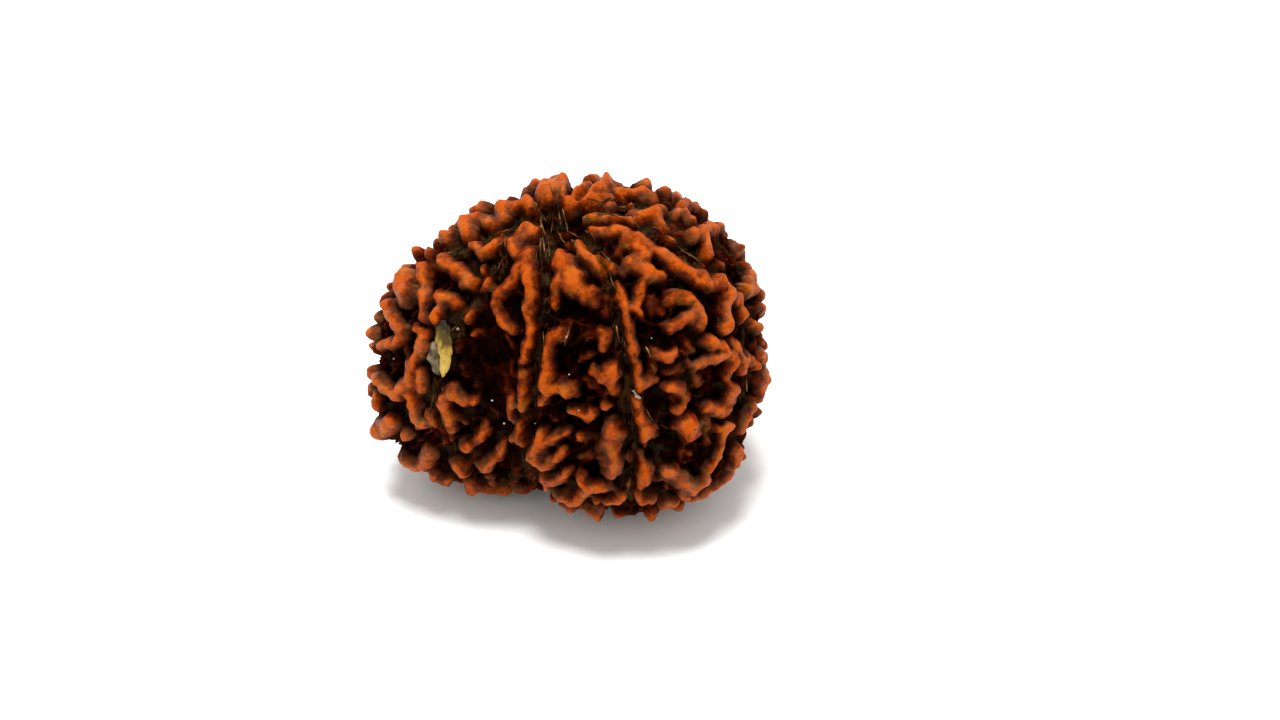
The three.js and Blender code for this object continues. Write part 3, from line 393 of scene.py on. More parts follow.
# sunken folds
seenLowRidges = [
    (0.3, (-4.1, -1.0), (-4.0, -1.6), (-3.5, -1.7)),
    (0.28, (-5.6, 3.4), (-6.2, 3.5)),
    (0.3, (1.8, 0.8), (2.6, 0.9)),
    (0.28, (1.2, -0.7), (1.9, -0.5)),
    (0.3, (6.6, 3.4), (6.6, 2.6)),
    (0.28, (9.2, 0.4), (9.6, -0.2)),
    (0.3, (8.4, -8.0), (9.0, -8.2)),
    (0.28, (6.7, -9.6), (7.3, -9.8)),
    (0.4, (-3.9, -8.8), (-4.1, -9.5), (-4.4, -10.0), (-5.2, -10.1), (-5.8, -9.6), (-6.0, -9.1)),
    (0.28, (-2.9, -8.9), (-2.9, -9.5), (-2.6, -9.9)),
    (0.28, (-8.0, 0.9), (-8.1, 0.2)),
    (0.3, (-6.9, -2.6), (-6.6, -3.2)),
    (0.28, (0.5, 2.0), (0.2, 1.0)),
    (0.28, (0.4, 7.7), (0.9, 7.2)),
    (0.3, (7.7, 8.6), (8.8, 8.0)),
    (0.3, (-12.9, 5.9), (-12.9, 5.0)),
    (0.3, (-4.2, 1.1), (-4.1, 0.4)),
    (0.3, (-5.2, -1.5), (-4.6, -2.1)),
    (0.3, (-7.9, -1.0), (-7.6, -1.8)),
    (0.28, (-7.2, 0.8), (-7.1, 0.2)),
    (0.28, (-6.3, -0.9), (-6.0, -1.5)),
    (0.28, (-4.6, -2.7), (-4.8, -3.4)),
    (0.28, (-5.7, -4.3), (-5.4, -4.9)),
    (0.28, (-6.8, -5.0), (-6.1, -5.3)),
    (0.3, (-8.2, -4.6), (-7.6, -5.1)),
    (0.3, (1.9, -2.2), (2.4, -2.8), (2.9, -3.3)),
    (0.26, (-1.1, -5.0), (-0.7, -5.3)),
    (0.28, (3.2, 3.2), (3.2, 2.4)),
    (0.3, (6.9, 3.5), (7.3, 2.6)),
    (0.3, (9.2, -1.2), (9.4, -2.0), (9.9, -2.7)),
    (0.34, (6.3, -0.2), (6.4, -1.2), (6.6, -1.8)),
    (0.28, (7.4, -1.7), (8.2, -1.6)),
    (0.34, (7.8, -3.9), (8.1, -4.2)),
    (0.34, (10.2, -5.5), (10.3, -6.3), (10.3, -7.3)),
    (0.28, (2.6, -7.6), (2.7, -8.6), (2.8, -9.2)),
    (0.28, (1.1, -8.2), (1.7, -8.0)),
    (0.32, (4.3, 7.0), (4.7, 6.3), (4.6, 5.6)),
    (0.3, (10.6, 5.9), (11.6, 5.8)),
]

# seams of the seen face, each carried on down the hidden side at a bearing from the front
seenSeams = [  # bearing, then points u, v
    (-12, (-1.4, 8.1), (-1.3, 3.5), (-1.5, 1.3), (-2.2, -1.7), (-2.5, -4.0), (-2.7, -6.2), (-2.9, -7.9),
     (-2.6, -10.6)),
    (27, (1.8, 8.0), (3.4, 5.0), (3.9, 2.0), (4.5, -1.0), (4.6, -4.0), (5.0, -8.4)),
    (74, (2.5, 9.5), (6.3, 8.6), (10.0, 6.3), (12.7, 3.5), (13.4, 0.5), (13.3, -5.0)),
    (-52, (-3.0, 9.6), (-4.6, 6.6), (-8.0, 2.0), (-9.8, -0.9), (-9.8, -3.4), (-8.6, -6.6), (-7.7, -9.4)),
]
hiddenSeams = [-98, -140, 172, 140, 108]


def bearingDirection(bearing, fromTop):
    level, polar = math.radians(bearing), math.radians(fromTop)
    return np.array((
        math.sin(level) * math.sin(polar), -math.cos(level) * math.sin(polar), math.cos(polar)))


def seamPaths():
    start, end, step = seam["polar"]
    paths = []
    for bearing, *points in seenSeams:
        path = [seenDirection(u, v) for u, v in points]
        polar = math.degrees(math.acos(path[-1][2])) + step
        while polar < end:
            path.append(bearingDirection(bearing, polar))
            polar += step
        paths.append(path)
    for i, bearing in enumerate(hiddenSeams):
        paths.append([bearingDirection(bearing + seam["wander"] * math.sin(polar / 19 + 2 * i), polar)
                      for polar in range(start, end, step)])
    return [onBody(np.array(path)) for path in paths]


def crestHeight(halfWidth, share):
    return share * (ridgeForm["least"] + ridgeForm["perWidth"] * halfWidth)


def ridge(halfWidths, points, share=1.0):
    widths = np.array(halfWidths, float)
    heights = crestHeight(widths, share)
    return {"points": np.array(points), "widths": widths, "heights": heights, "share": share}


def seenRidge(line, share=1.0):
    halfWidth, *points = line
    widths = [p[2] if len(p) > 2 else halfWidth for p in points]
    middles = [crestHeight(width, share) - width for width in widths]  # heights of the rope's middle
    return ridge(widths, [seenPoint(*p[:2], high) for p, high in zip(points, middles)], share)


def notchLanes():
    backward = [toEye * notches["step"] * i for i in range(notches["steps"])]
    return onBody(np.array([seenPoint(u, v) - back for u, v in notches["at"] for back in backward]))


def seededDraws(seed):
    state = seed
    while True:
        state = (state * 1664525 + 1013904223) & 0xFFFFFFFF
        yield state / 2**32


def turned(v, axis, angle):
    c, s = math.cos(angle), math.sin(angle)
    return v * c + np.cross(axis, v) * s + axis * (axis @ v) * (1 - c)


def grownRidges(kind, taken, seamPoints, lanes):
    # on the sides that the front view hides each ridge wanders until it comes near another
    draw = seededDraws(growth["seed"])
    golden = math.pi * (3 - math.sqrt(5))
    grown = []

    def free(p):
        kept = ((np.array(taken), "clear"), (seamPoints, "seamClear"), (lanes, "laneClear"))
        return all(np.linalg.norm(points - p, axis=1).min() > kind[name] for points, name in kept)

    for attempt in range(growth["seeds"]):
        i = (attempt * growth["stride"]) % growth["seeds"]
        z = 1 - (2 * i + 1) / growth["seeds"]
        level = math.sqrt(1 - z * z)
        heading = (next(draw) - 0.5) * math.pi * growth["heading"]
        low, high = kind["halfWidth"]
        halfWidth = low + (high - low) * next(draw)
        start = np.array((math.cos(i * golden) * level, math.sin(i * golden) * level, z))
        first = onBody(start)
        if facing(start) > growth["facing"] or not free(first):
            continue
        path = [first]
        along = turned(unit(np.array((0, 0, 1.0)) - start * start[2]), start, heading)
        for _ in range(1 + int(next(draw) * kind["longest"])):
            out = unit(path[-1])
            turning = (next(draw) - 0.5) * 2 * growth["wander"]
            along = turned(unit(along - out * (along @ out)), out, turning)
            onward = onBody(path[-1] + along * growth["step"])
            if not free(onward):
                break
            path.append(onward)
        taken.extend(path)
        grown.append(ridge([halfWidth] * len(path), path, kind["share"]))
    return grown


def footRidges():
    made = []
    for x, y in feet["at"]:
        down = onBody(np.array((x, y, -math.sqrt(feet["ball"] ** 2 - x * x - y * y))))
        made.append({
            "points": down[None], "widths": np.array([feet["halfWidth"]]),
            "heights": np.array([feet["height"]]), "share": 1})
    return made


def alongPath(p, a, b):
    span = b - a
    length = span @ span
    if length == 0:
        return np.zeros(len(p)), np.linalg.norm(p - a, axis=1)
    share = np.clip((p - a) @ span / length, 0, 1)
    return share, np.linalg.norm(p - a - share[:, None] * span, axis=1)


def raisedBy(p, ridges, swell):
    # ridges joined so that crossing ones keep apart a little, and how near a crest each point lies
    skirtShare, skirtReach = ridgeForm["skirt"]
    widest = 1 + ridgeForm["swell"][0]
    total, crown = np.zeros(len(p)), np.zeros(len(p))
    for one in ridges:
        points, widths, heights = one["points"], one["widths"], one["heights"]
        middle = points[len(points) // 2]
        span = np.linalg.norm(points - middle, axis=1).max() + skirtReach
        span += (widths.max() + ridgeForm["flank"]) * widest
        near = np.nonzero(((p - middle) ** 2).sum(1) < span * span)[0]
        if len(near) == 0:
            continue
        best, nearest = np.zeros(len(near)), np.ones(len(near))
        for i in range(max(len(points) - 1, 1)):
            j = min(i + 1, len(points) - 1)
            share, distance = alongPath(p[near], points[i], points[j])
            width = widths[i] + (widths[j] - widths[i]) * share
            width = (width + ridgeForm["flank"]) * swell[near]
            height = heights[i] + (heights[j] - heights[i]) * share
            t = np.minimum(distance / width, 1)
            rope = (1 - t ** ridgeForm["power"]) ** ridgeForm["roundness"]
            skirt = skirtShare * np.maximum(1 - distance / (width + skirtReach), 0)
            best = np.maximum(best, height * (rope**4 + skirt**4) ** 0.25)
            nearest = np.minimum(nearest, t)
        total[near] += best ** ridgeForm["union"]
        crown[near] = np.maximum(crown[near], one["share"] * (1 - nearest ** ridgeForm["crownPower"]))
    return total ** (1 / ridgeForm["union"]), crown


def noiseAt(p, perMm, shift=0.0):
    offset = Vector((shift, 2.3 * shift, -1.7 * shift))
    return np.array([noise.noise(Vector(q) * perMm + offset) for q in p.tolist()])


def roundGrid(count):
    # a cube's six faces, count squares each way, blown up to a ball, with shared edge points
    steps = np.arange(count + 1)
    a, b = np.meshgrid(steps, steps, indexing="ij")
    flat = np.zeros_like(a)
    corners, quads = [], []
    for axis in range(3):
        for level in (0, count):
            cell = [None] * 3
            cell[axis] = flat + level
            cell[(axis + 1) % 3], cell[(axis + 2) % 3] = (a, b) if level else (b, a)
            base = len(corners) * (count + 1) ** 2
            corners.append(np.stack([c.ravel() for c in cell], 1))
            order = (a * (count + 1) + b)[:-1, :-1].ravel() + base
            quads.append(np.stack([order, order + count + 1, order + count + 2, order + 1], 1))
    corners, shared = np.unique(np.concatenate(corners), axis=0, return_inverse=True)
    directions = unit(np.tan((corners / count * 2 - 1) * math.pi / 4))
    return directions, shared.ravel()[np.concatenate(quads)]


def spreadOut(values, quads, times):
    # values averaged again and again with those of the neighbouring points
    ends = np.concatenate([quads[:, [0, 1]], quads[:, [1, 2]], quads[:, [2, 3]], quads[:, [3, 0]]])
    count = np.bincount(ends[:, 0], minlength=len(values))
    for _ in range(times):
        total = np.bincount(ends[:, 0], values[ends[:, 1]], len(values))
        values = 0.5 * values + 0.5 * total / count
    return values


def layOut():
    # all that the relief is made of, as points on the body
    seams = seamPaths()
    footing = footRidges()
    ridges = [seenRidge(line) for line in seenRidges]
    ridges += [seenRidge(line, ridgeForm["lowShare"]) for line in seenLowRidges]
    taken = [point for one in ridges + footing for point in one["points"]]
    for kind in ("full", "low"):
        ridges += grownRidges(growth[kind], taken, np.concatenate(seams), notchLanes())
    return {
        "seams": seams, "footing": footing, "ridges": ridges,
        "pits": [(seenPoint(u, v), depth, pitReach) for u, v, depth, pitReach in pits],
        "valley": [(seenPoint(u, v), depth) for u, v, depth in waist["points"]],
        "front": seenPoint(*stone["rimSheenFrom"][:2]),
    }


def deepPlaces(p, form):
    pit, valley = np.zeros(len(p)), np.zeros(len(p))
    for at, depth, pitReach in form["pits"]:
        pit = np.maximum(pit, depth * np.exp(-((np.linalg.norm(p - at, axis=1) / pitReach) ** 2)))
    for (a, first), (b, second) in zip(form["valley"], form["valley"][1:]):
        share, distance = alongPath(p, a, b)
        depth = first + (second - first) * share
        valley = np.maximum(valley, depth * np.exp(-((distance / waist["reach"]) ** 2)))
    return pit + valley


def finerFolds(p):
    # folds along the lines where slow noise changes sign, and how near their crests each point lies
    folds, crown = np.zeros(len(p)), np.zeros(len(p))
    for tall, perMm, thick, shift in hollows["veins"]:
        line = np.clip(1 - np.abs(noiseAt(p, perMm, shift)) / thick, 0, 1)
        folds = np.maximum(folds, tall * line * line * (3 - 2 * line))
        crown = np.maximum(crown, line)
    return folds, crown


def surfaceAt(directions, form):
    # places on the stone, with the relief's height and how near a seam is
    p = onBody(directions)
    out = bodyNormal(directions)
    stray = sum(amount * np.stack([noiseAt(p, perMm, shift) for shift in ridgeForm["strayShifts"]], 1)
                for amount, perMm in ridgeForm["stray"])
    swell, lump = (1 + amount * noiseAt(p, perMm, shift)
                   for amount, perMm, shift in (ridgeForm["swell"], ridgeForm["lump"]))
    grain = sum(tall * noiseAt(p, perMm, hollows["grainShift"]) for tall, perMm in hollows["grain"])
    raised, crown = raisedBy(p + stray, form["ridges"], swell)
    raised = raised * lump
    between = np.clip(1 - raised / hollows["under"], 0, 1)
    deep = deepPlaces(p, form) * (1 - waist["spare"] * np.minimum(raised, 1))
    folds, foldCrown = finerFolds(p + stray)
    calm = np.exp(-deep)  # deep places are smoother
    raised = raised + between * (folds * calm - hollows["depth"]) + grain
    crown = np.maximum(crown, between * foldCrown * calm * ridgeForm["lowShare"])
    toSeam = np.min([alongPath(p + stray, path[i], path[i + 1])[1]
                     for path in form["seams"] for i in range(len(path) - 1)], 0)
    groove = np.exp(-((toSeam / seam["reach"]) ** 2))
    wear = np.clip((p[:, 2] - worn["to"]) / (worn["from"] - worn["to"]), 0, 1)
    wear = worn["left"] + (1 - worn["left"]) * wear * wear * (3 - 2 * wear)
    relief = raised * (1 - seam["cut"] * groove) * wear
    relief = relief - seam["depth"] * groove - deep
    relief = np.maximum(relief, raisedBy(p, form["footing"], np.ones(len(p)))[0])
    place = p + out * relief[:, None] + np.array(body["centre"])
    place[:, 2] = np.maximum(place[:, 2], 0)
    fromFront = np.linalg.norm(p - form["front"], axis=1)
    # growing away from the front middle: painted sheen and lighter crests towards the rims, and where some
    # tints and dust lie
    return place, relief, {
        "height": relief, "crown": crown, "seam": np.exp(-((toSeam / seam["margin"]) ** 2)),
        "rimSheenAndTints": 1 - np.exp(-((fromFront / stone["rimSheenFrom"][2]) ** 2))}


def newPiece(name, places, faces, masks=None):
    mesh = bpy.data.meshes.new(name)
    mesh.from_pydata((places * mm).tolist(), [], faces)
    mesh.shade_smooth()
    for maskName, values in (masks or {}).items():
        layer = mesh.attributes.new(maskName, "FLOAT", "POINT")
        layer.data.foreach_set("value", np.asarray(values, np.float32))
    piece = bpy.data.objects.new(name, mesh)
    bpy.context.collection.objects.link(piece)
    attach(piece, "root")
    return piece


stone = {
    "squares": 128,  # along each edge of the cube that the net starts from
    "stretch": 1.2,  # spreads the net evenly over the long body
    "spread": 24,  # rounds of averaging that crests and crevices are told apart with
    "rimSheenFrom": (-0.8, 0.3, 9.5),  # u and v of the middle, where the colours are strongest, that painted sheen and lighter crests grow away from, and how far that goes
}


def makeStone(form):
    directions, quads = roundGrid(stone["squares"])
    directions = unit(directions * np.array((stone["stretch"], 1, 1)))
    place, relief, masks = surfaceAt(directions, form)
    # relief against its neighbours' average, for painted shade in crevices and painted light on edges
    masks["cavityShading"] = relief - spreadOut(relief, quads, stone["spread"])
    piece = newPiece("rudraksha", place, quads.tolist(), masks)
    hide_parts("joined_beads")
    return piece


form = layOut()
print("ridges laid out:", len(form["ridges"]))
rudraksha = makeStone(form)
print("stone made")

# Woody fibres that the fruit's pulp left in the seams
fibre = {
    "seen": [  # two ends in the front view, and a bend
        ((-2.0, 10.4), (-1.2, 9.6), 0.03), ((-1.7, 9.9), (-1.3, 8.6), -0.04),
        ((-0.3, 10.5), (-0.1, 9.3), 0.02), ((0.1, 10.1), (0.4, 8.8), 0.05),
        ((0.4, 8.9), (1.3, 8.3), 0.06), ((-2.2, 11.2), (-1.9, 10.3), 0.02),
        ((-1.6, 8.6), (-1.4, 7.2), 0.03), ((-0.7, 10.2), (-0.9, 8.8), 0.02),
        ((0.8, 7.9), (1.3, 6.9), 0.03), ((-0.4, 9.0), (0.2, 8.0), -0.03),
        ((-1.1, 8.2), (-1.0, 6.9), 0.0), ((-0.9, 11.1), (-0.5, 10.2), 0.03),
        ((7.5, 8.0), (9.7, 6.8), -0.02), ((8.9, 7.2), (10.5, 6.1), 0.03),
        ((0.5, 1.8), (0.1, 0.4), 0.06), ((6.0, 0.1), (6.3, -0.6), 0.04),
        ((6.4, -1.1), (6.7, -1.9), -0.04), ((5.9, -4.5), (6.8, -6.1), -0.04),
        ((7.0, -5.9), (7.6, -6.3), 0.03), ((2.2, 10.3), (3.6, 10.4), 0.03),
        ((2.6, 9.3), (4.4, 9.3), 0.02), ((1.8, 8.6), (2.6, 7.7), 0.04),
        ((-9.6, -2.1), (-9.0, -2.5), 0.05),
    ],
    "strewn": 110,  # more of them along all seams, most near the upper pole
    "seed": 2207,
    "length": (0.7, 1.9),
    "radius": (0.03, 0.09),
    "sides": 6,
    "steps": 9,
    "blunt": 0.15,  # how blunt its ends are
    "sunk": 0.05,
    "seenHigh": 0.2,
    "aside": 0.7,  # how far from its seam one lies, and how much it turns away
    "astray": 0.4,
    "bend": 0.02,
}


def tube(points, radius, sides):
    # rings of points along a path, thin at both ends, and the faces between them
    points = np.asarray(points)
    along = unit(np.gradient(points, axis=0))
    across = unit(np.cross(along, (0.31, 0.52, 0.79)))
    other = np.cross(along, across)
    thick = radius * np.sin(np.linspace(fibre["blunt"], math.pi - fibre["blunt"], len(points))) ** 0.5
    around = np.arange(sides) * 2 * math.pi / sides
    rings = points[:, None] + thick[:, None, None] * (
        across[:, None] * np.cos(around)[:, None] + other[:, None] * np.sin(around)[:, None])
    i, k = np.meshgrid(np.arange(len(points) - 1), np.arange(sides), indexing="ij")
    i, k = i.ravel() * sides, k.ravel()
    onward = (k + 1) % sides
    faces = np.stack([i + k, i + onward, i + onward + sides, i + k + sides], 1).tolist()
    faces.append(list(range(sides))[::-1])
    faces.append([(len(points) - 1) * sides + n for n in range(sides)])
    return rings.reshape(-1, 3), faces


def makeFibres(form):
    draw = seededDraws(fibre["seed"])
    runs = []
    for start, end, bend in fibre["seen"]:
        a, b = seenDirection(*start, fibre["seenHigh"]), seenDirection(*end, fibre["seenHigh"])
        runs.append((a, b, np.cross(a, b - a) * bend))
    for _ in range(fibre["strewn"]):
        path = form["seams"][int(next(draw) * len(form["seams"]))]
        i = int(next(draw) ** 2 * (len(path) - 1))
        low, high = fibre["length"]
        start = path[i] + (path[i + 1] - path[i]) * next(draw)
        heading = unit(path[i + 1] - path[i]) * (low + (high - low) * next(draw))
        side = np.cross(unit(start), unit(heading))
        start = start + side * (next(draw) - 0.5) * fibre["aside"]
        end = start + heading + side * (next(draw) - 0.5) * fibre["astray"]
        runs.append((unit(start), unit(end), side * (next(draw) - 0.5) * fibre["bend"]))
    places, faces = [], []
    for a, b, bend in runs:
        s = np.linspace(0, 1, fibre["steps"])[:, None]
        directions = unit(a + (b - a) * s + bend * np.sin(s * math.pi))
        ground, relief, _ = surfaceAt(directions, form)
        lift = np.convolve(np.pad(relief, 2, "edge"), np.full(5, 0.2), "valid") - relief
        low, high = fibre["radius"]
        radius = low + (high - low) * next(draw)
        path = ground + bodyNormal(directions) * np.maximum(lift + radius - fibre["sunk"], radius)[:, None]
        ring, ringFaces = tube(path, radius, fibre["sides"])
        base = sum(len(one) for one in places)
        places.append(ring)
        faces += [[corner + base for corner in face] for face in ringFaces]
    return newPiece("fibres", np.concatenate(places), faces)


fibres = makeFibres(form)
print("fibres made")


# Bits of dry husk
husk = {
    "chips": {  # the middle line and half-width in the front view, how high it lies and how it arches
        "huskChip": {
            "line": [(-9.5, 2.6, 0.38), (-9.42, 2.0, 0.5), (-9.45, 1.3, 0.62), (-9.38, 0.7, 0.6),
                     (-9.33, 0.0, 0.46), (-9.4, -0.7, 0.36), (-9.48, -1.2, 0.26), (-9.56, -1.6, 0.14)],
            "height": 0.8, "arch": 0.14},
        "huskFilm": {
            "line": [(-10.0, 1.0, 0.14), (-10.1, 0.5, 0.36), (-10.15, 0.0, 0.42), (-10.05, -0.5, 0.4),
                     (-9.9, -1.1, 0.3), (-9.75, -1.5, 0.12)],
            "height": 0.6, "arch": 0.1},
        "huskFleck": {
            "line": [(5.25, -3.1, 0.08), (5.45, -3.35, 0.15), (5.62, -3.7, 0.17), (5.68, -4.05, 0.14),
                     (5.62, -4.3, 0.06)],
            "height": 0.75, "arch": 0.12},
    },
    "across": 7,
    "along": 18,
    "thick": 0.1,
    "ripple": (0.1, 1.4, 7.0),  # height, waves per millimetre, shift of the noise
    "fray": (0.2, 2.2),  # how ragged its edges are
}


def makeChip(name, chip):
    # a thin arched plate, closed all round
    line = np.array(chip["line"])
    stations = np.linspace(0, len(line) - 1, husk["along"])
    which = np.arange(len(line))
    middleU, middleV, half = (np.interp(stations, which, values) for values in line.T)
    amount, perMm = husk["fray"]
    half = half + amount * noiseAt(np.stack([middleU, middleV, 0 * middleU], 1), perMm)
    across = np.linspace(-1, 1, husk["across"])
    directions = np.array([seenDirection(u + w * k, v, chip["height"])
                           for u, v, w in zip(middleU, middleV, half) for k in across])
    curl = np.tile(1 - across**2, len(stations)) * chip["arch"]
    rippleHeight, perMm, shift = husk["ripple"]
    ripple = rippleHeight * noiseAt(onBody(directions), perMm, shift)
    height = (chip["height"] + curl + ripple)[:, None]
    ground, out = onBody(directions) + np.array(body["centre"]), bodyNormal(directions)
    top, under = ground + out * height, ground + out * (height - husk["thick"])
    rows, columns, count = husk["along"], husk["across"], len(top)
    faces = []
    for i in range(rows - 1):
        for k in range(columns - 1):
            one = i * columns + k
            cell = [one, one + 1, one + columns + 1, one + columns]
            faces += [cell[::-1], [corner + count for corner in cell]]
    rim = [k for k in range(columns)] + [i * columns + columns - 1 for i in range(1, rows)]
    rim += [(rows - 1) * columns + k for k in range(columns - 2, -1, -1)]
    rim += [i * columns for i in range(rows - 2, 0, -1)]
    for one, after in zip(rim, rim[1:] + rim[:1]):
        faces.append([one, after, after + count, one + count])
    tip = np.repeat(np.linspace(0, 1, rows), columns)
    return newPiece(name, np.concatenate([top, under]), faces, {"tip": np.tile(tip, 2)})


chips = [makeChip(name, chip) for name, chip in husk["chips"].items()]

grit = {
    "specks": [  # u, v and radius
        (-8.2, 1.75, 0.13), (-12.7, -0.3, 0.1), (0.75, 9.5, 0.07), (0.3, -1.85, 0.09), (6.6, 0.65, 0.07),
        (-4.9, -5.6, 0.13), (-5.8, -3.8, 0.1), (-2.5, -5.7, 0.08), (1.1, -4.3, 0.08), (9.6, 6.9, 0.08),
    ],
    "seed": 613,
    "seenHigh": 0.3,
    "stretch": (0.7, 0.7),  # the least length of a corner, of the radius, and what a draw adds
    "lift": 0.5,
}


def makeGrit(form):
    draw = seededDraws(grit["seed"])
    least, more = grit["stretch"]
    corners = np.array([(1, 0, 0), (-1, 0, 0), (0, 1, 0), (0, -1, 0), (0, 0, 1), (0, 0, -1)], float)
    sides = [(0, 2, 4), (2, 1, 4), (1, 3, 4), (3, 0, 4), (2, 0, 5), (1, 2, 5), (3, 1, 5), (0, 3, 5)]
    directions = np.array([seenDirection(u, v, grit["seenHigh"]) for u, v, _ in grit["specks"]])
    ground, _, _ = surfaceAt(directions, form)
    places, faces = [], []
    for (_, _, radius), at, out in zip(grit["specks"], ground, bodyNormal(directions)):
        stretch = np.array([least + more * next(draw) for _ in corners])[:, None]
        faces += [[corner + len(corners) * len(places) for corner in side] for side in sides]
        places.append(at + out * radius * grit["lift"] + corners * stretch * radius)
    return newPiece("grit", np.concatenate(places), faces)


specks = makeGrit(form)
print("husk and grit made")

# Finishes

def addNode(tree, kind, **settings):
    made = tree.nodes.new(kind)
    for name, value in settings.items():
        setattr(made, name, value)
    return made


def fill(tree, socket, value):
    # a link where the value is a socket, and the socket's own setting otherwise
    if isinstance(value, bpy.types.NodeSocket):
        tree.links.new(value, socket)
    elif value is not None:
        socket.default_value = value


def addMask(tree, name):
    return addNode(tree, "ShaderNodeAttribute", attribute_name=name).outputs["Fac"]


def addMath(tree, operation, *values):
    made = addNode(tree, "ShaderNodeMath", operation=operation)
    for socket, value in zip(made.inputs, values):
        fill(tree, socket, value)
    return made.outputs[0]


def addRange(tree, value, low, high, outLow=0.0, outHigh=1.0, kind="SMOOTHSTEP"):
    made = addNode(tree, "ShaderNodeMapRange", interpolation_type=kind)
    names = ("Value", "From Min", "From Max", "To Min", "To Max")
    for name, number in zip(names, (value, low, high, outLow, outHigh)):
        fill(tree, made.inputs[name], number)
    return made.outputs["Result"]


def addMix(tree, amount, first, second):
    made = addNode(tree, "ShaderNodeMix", data_type="RGBA")
    for socket, value in zip((made.inputs[0], made.inputs[6], made.inputs[7]), (amount, first, second)):
        fill(tree, socket, value)
    return made.outputs[2]


def addRamp(tree, value, stops):
    made = addNode(tree, "ShaderNodeValToRGB")
    ramp = made.color_ramp
    while len(ramp.elements) < len(stops):
        ramp.elements.new(0.5)
    for element, (place, colour) in zip(ramp.elements, stops):
        element.position = place
        element.color = (*colour, 1)
    tree.links.new(value, made.inputs["Fac"])
    return made.outputs["Color"]


def newGroup(name, inputs, outputs):
    # an effect that several finishes share, with its sockets
    group = bpy.data.node_groups.new(name, "ShaderNodeTree")
    for socketName, kind, value in inputs:
        group.interface.new_socket(socketName, in_out="INPUT", socket_type=kind).default_value = value
    for socketName, kind in outputs:
        group.interface.new_socket(socketName, in_out="OUTPUT", socket_type=kind)
    given = addNode(group, "NodeGroupInput").outputs
    return group, given, addNode(group, "NodeGroupOutput").inputs


def addGroup(tree, group, **values):
    made = addNode(tree, "ShaderNodeGroup", node_tree=group)
    for name, value in values.items():
        fill(tree, made.inputs[name], value)
    return made.outputs


number, colourKind = "NodeSocketFloat", "NodeSocketColor"


def grainGroup():
    # soft noise about zero, in lumps per millimetre
    inputs = [("perMm", number, 1.0), ("amount", number, 1.0), ("detail", number, 3.0)]
    group, given, result = newGroup("fineGrain", inputs, [("value", number)])
    where = addNode(group, "ShaderNodeTexCoord").outputs["Object"]
    speckle = addNode(group, "ShaderNodeTexNoise")
    fill(group, speckle.inputs["Vector"], where)
    fill(group, speckle.inputs["Scale"], addMath(group, "DIVIDE", given["perMm"], mm))
    fill(group, speckle.inputs["Detail"], given["detail"])
    about = addMath(group, "SUBTRACT", speckle.outputs["Fac"], 0.5)
    fill(group, result["value"], addMath(group, "MULTIPLY", about, given["amount"]))
    return group


def streakGroup():
    # thin streaks that run up and down, as the fruit's fibres do
    inputs = [("perMm", number, 2.5), ("stretch", number, 0.16), ("from", number, 0.5),
              ("to", number, 0.62)]
    group, given, result = newGroup("fibreStreaks", inputs, [("mask", number)])
    where = addNode(group, "ShaderNodeTexCoord").outputs["Object"]
    squash = addNode(group, "ShaderNodeCombineXYZ")
    fill(group, squash.inputs["X"], 1.0)
    fill(group, squash.inputs["Y"], 1.0)
    fill(group, squash.inputs["Z"], given["stretch"])
    drawn = addNode(group, "ShaderNodeVectorMath", operation="MULTIPLY")
    fill(group, drawn.inputs[0], where)
    fill(group, drawn.inputs[1], squash.outputs[0])
    lines = addNode(group, "ShaderNodeTexNoise")
    fill(group, lines.inputs["Vector"], drawn.outputs[0])
    fill(group, lines.inputs["Scale"], addMath(group, "DIVIDE", given["perMm"], mm))
    fill(group, lines.inputs["Distortion"], 0.6)
    fill(group, result["mask"], addRange(group, lines.outputs["Fac"], given["from"], given["to"]))
    return group


def patchGroup(grain):
    # a tint in patches, where the cover mask lets it lie
    inputs = [("under", colourKind, (0, 0, 0, 1)), ("tint", colourKind, (0.12, 0.1, 0.06, 1)),
              ("cover", number, 1.0), ("perMm", number, 1.5), ("from", number, 0.0), ("to", number, 0.2),
              ("amount", number, 0.5)]
    group, given, result = newGroup("tintPatches", inputs, [("colour", colourKind), ("mask", number)])
    patches = addGroup(group, grain, perMm=given["perMm"], amount=1.0, detail=5.0)["value"]
    mask = addMath(group, "MULTIPLY", addRange(group, patches, given["from"], given["to"]), given["cover"])
    mask = addMath(group, "MULTIPLY", mask, given["amount"])
    fill(group, result["colour"], addMix(group, mask, given["under"], given["tint"]))
    fill(group, result["mask"], mask)
    return group


grain = grainGroup()
streaks = streakGroup()
patchwork = patchGroup(grain)


def newFinish(name):
    finish = bpy.data.materials.new(name)
    finish.use_nodes = True
    return finish, finish.node_tree, finish.node_tree.nodes["Principled BSDF"]


def addBump(tree, shader, height, deep):
    bump = addNode(tree, "ShaderNodeBump")
    bump.inputs["Distance"].default_value = deep * mm
    fill(tree, bump.inputs["Height"], height)
    tree.links.new(bump.outputs["Normal"], shader.inputs["Normal"])


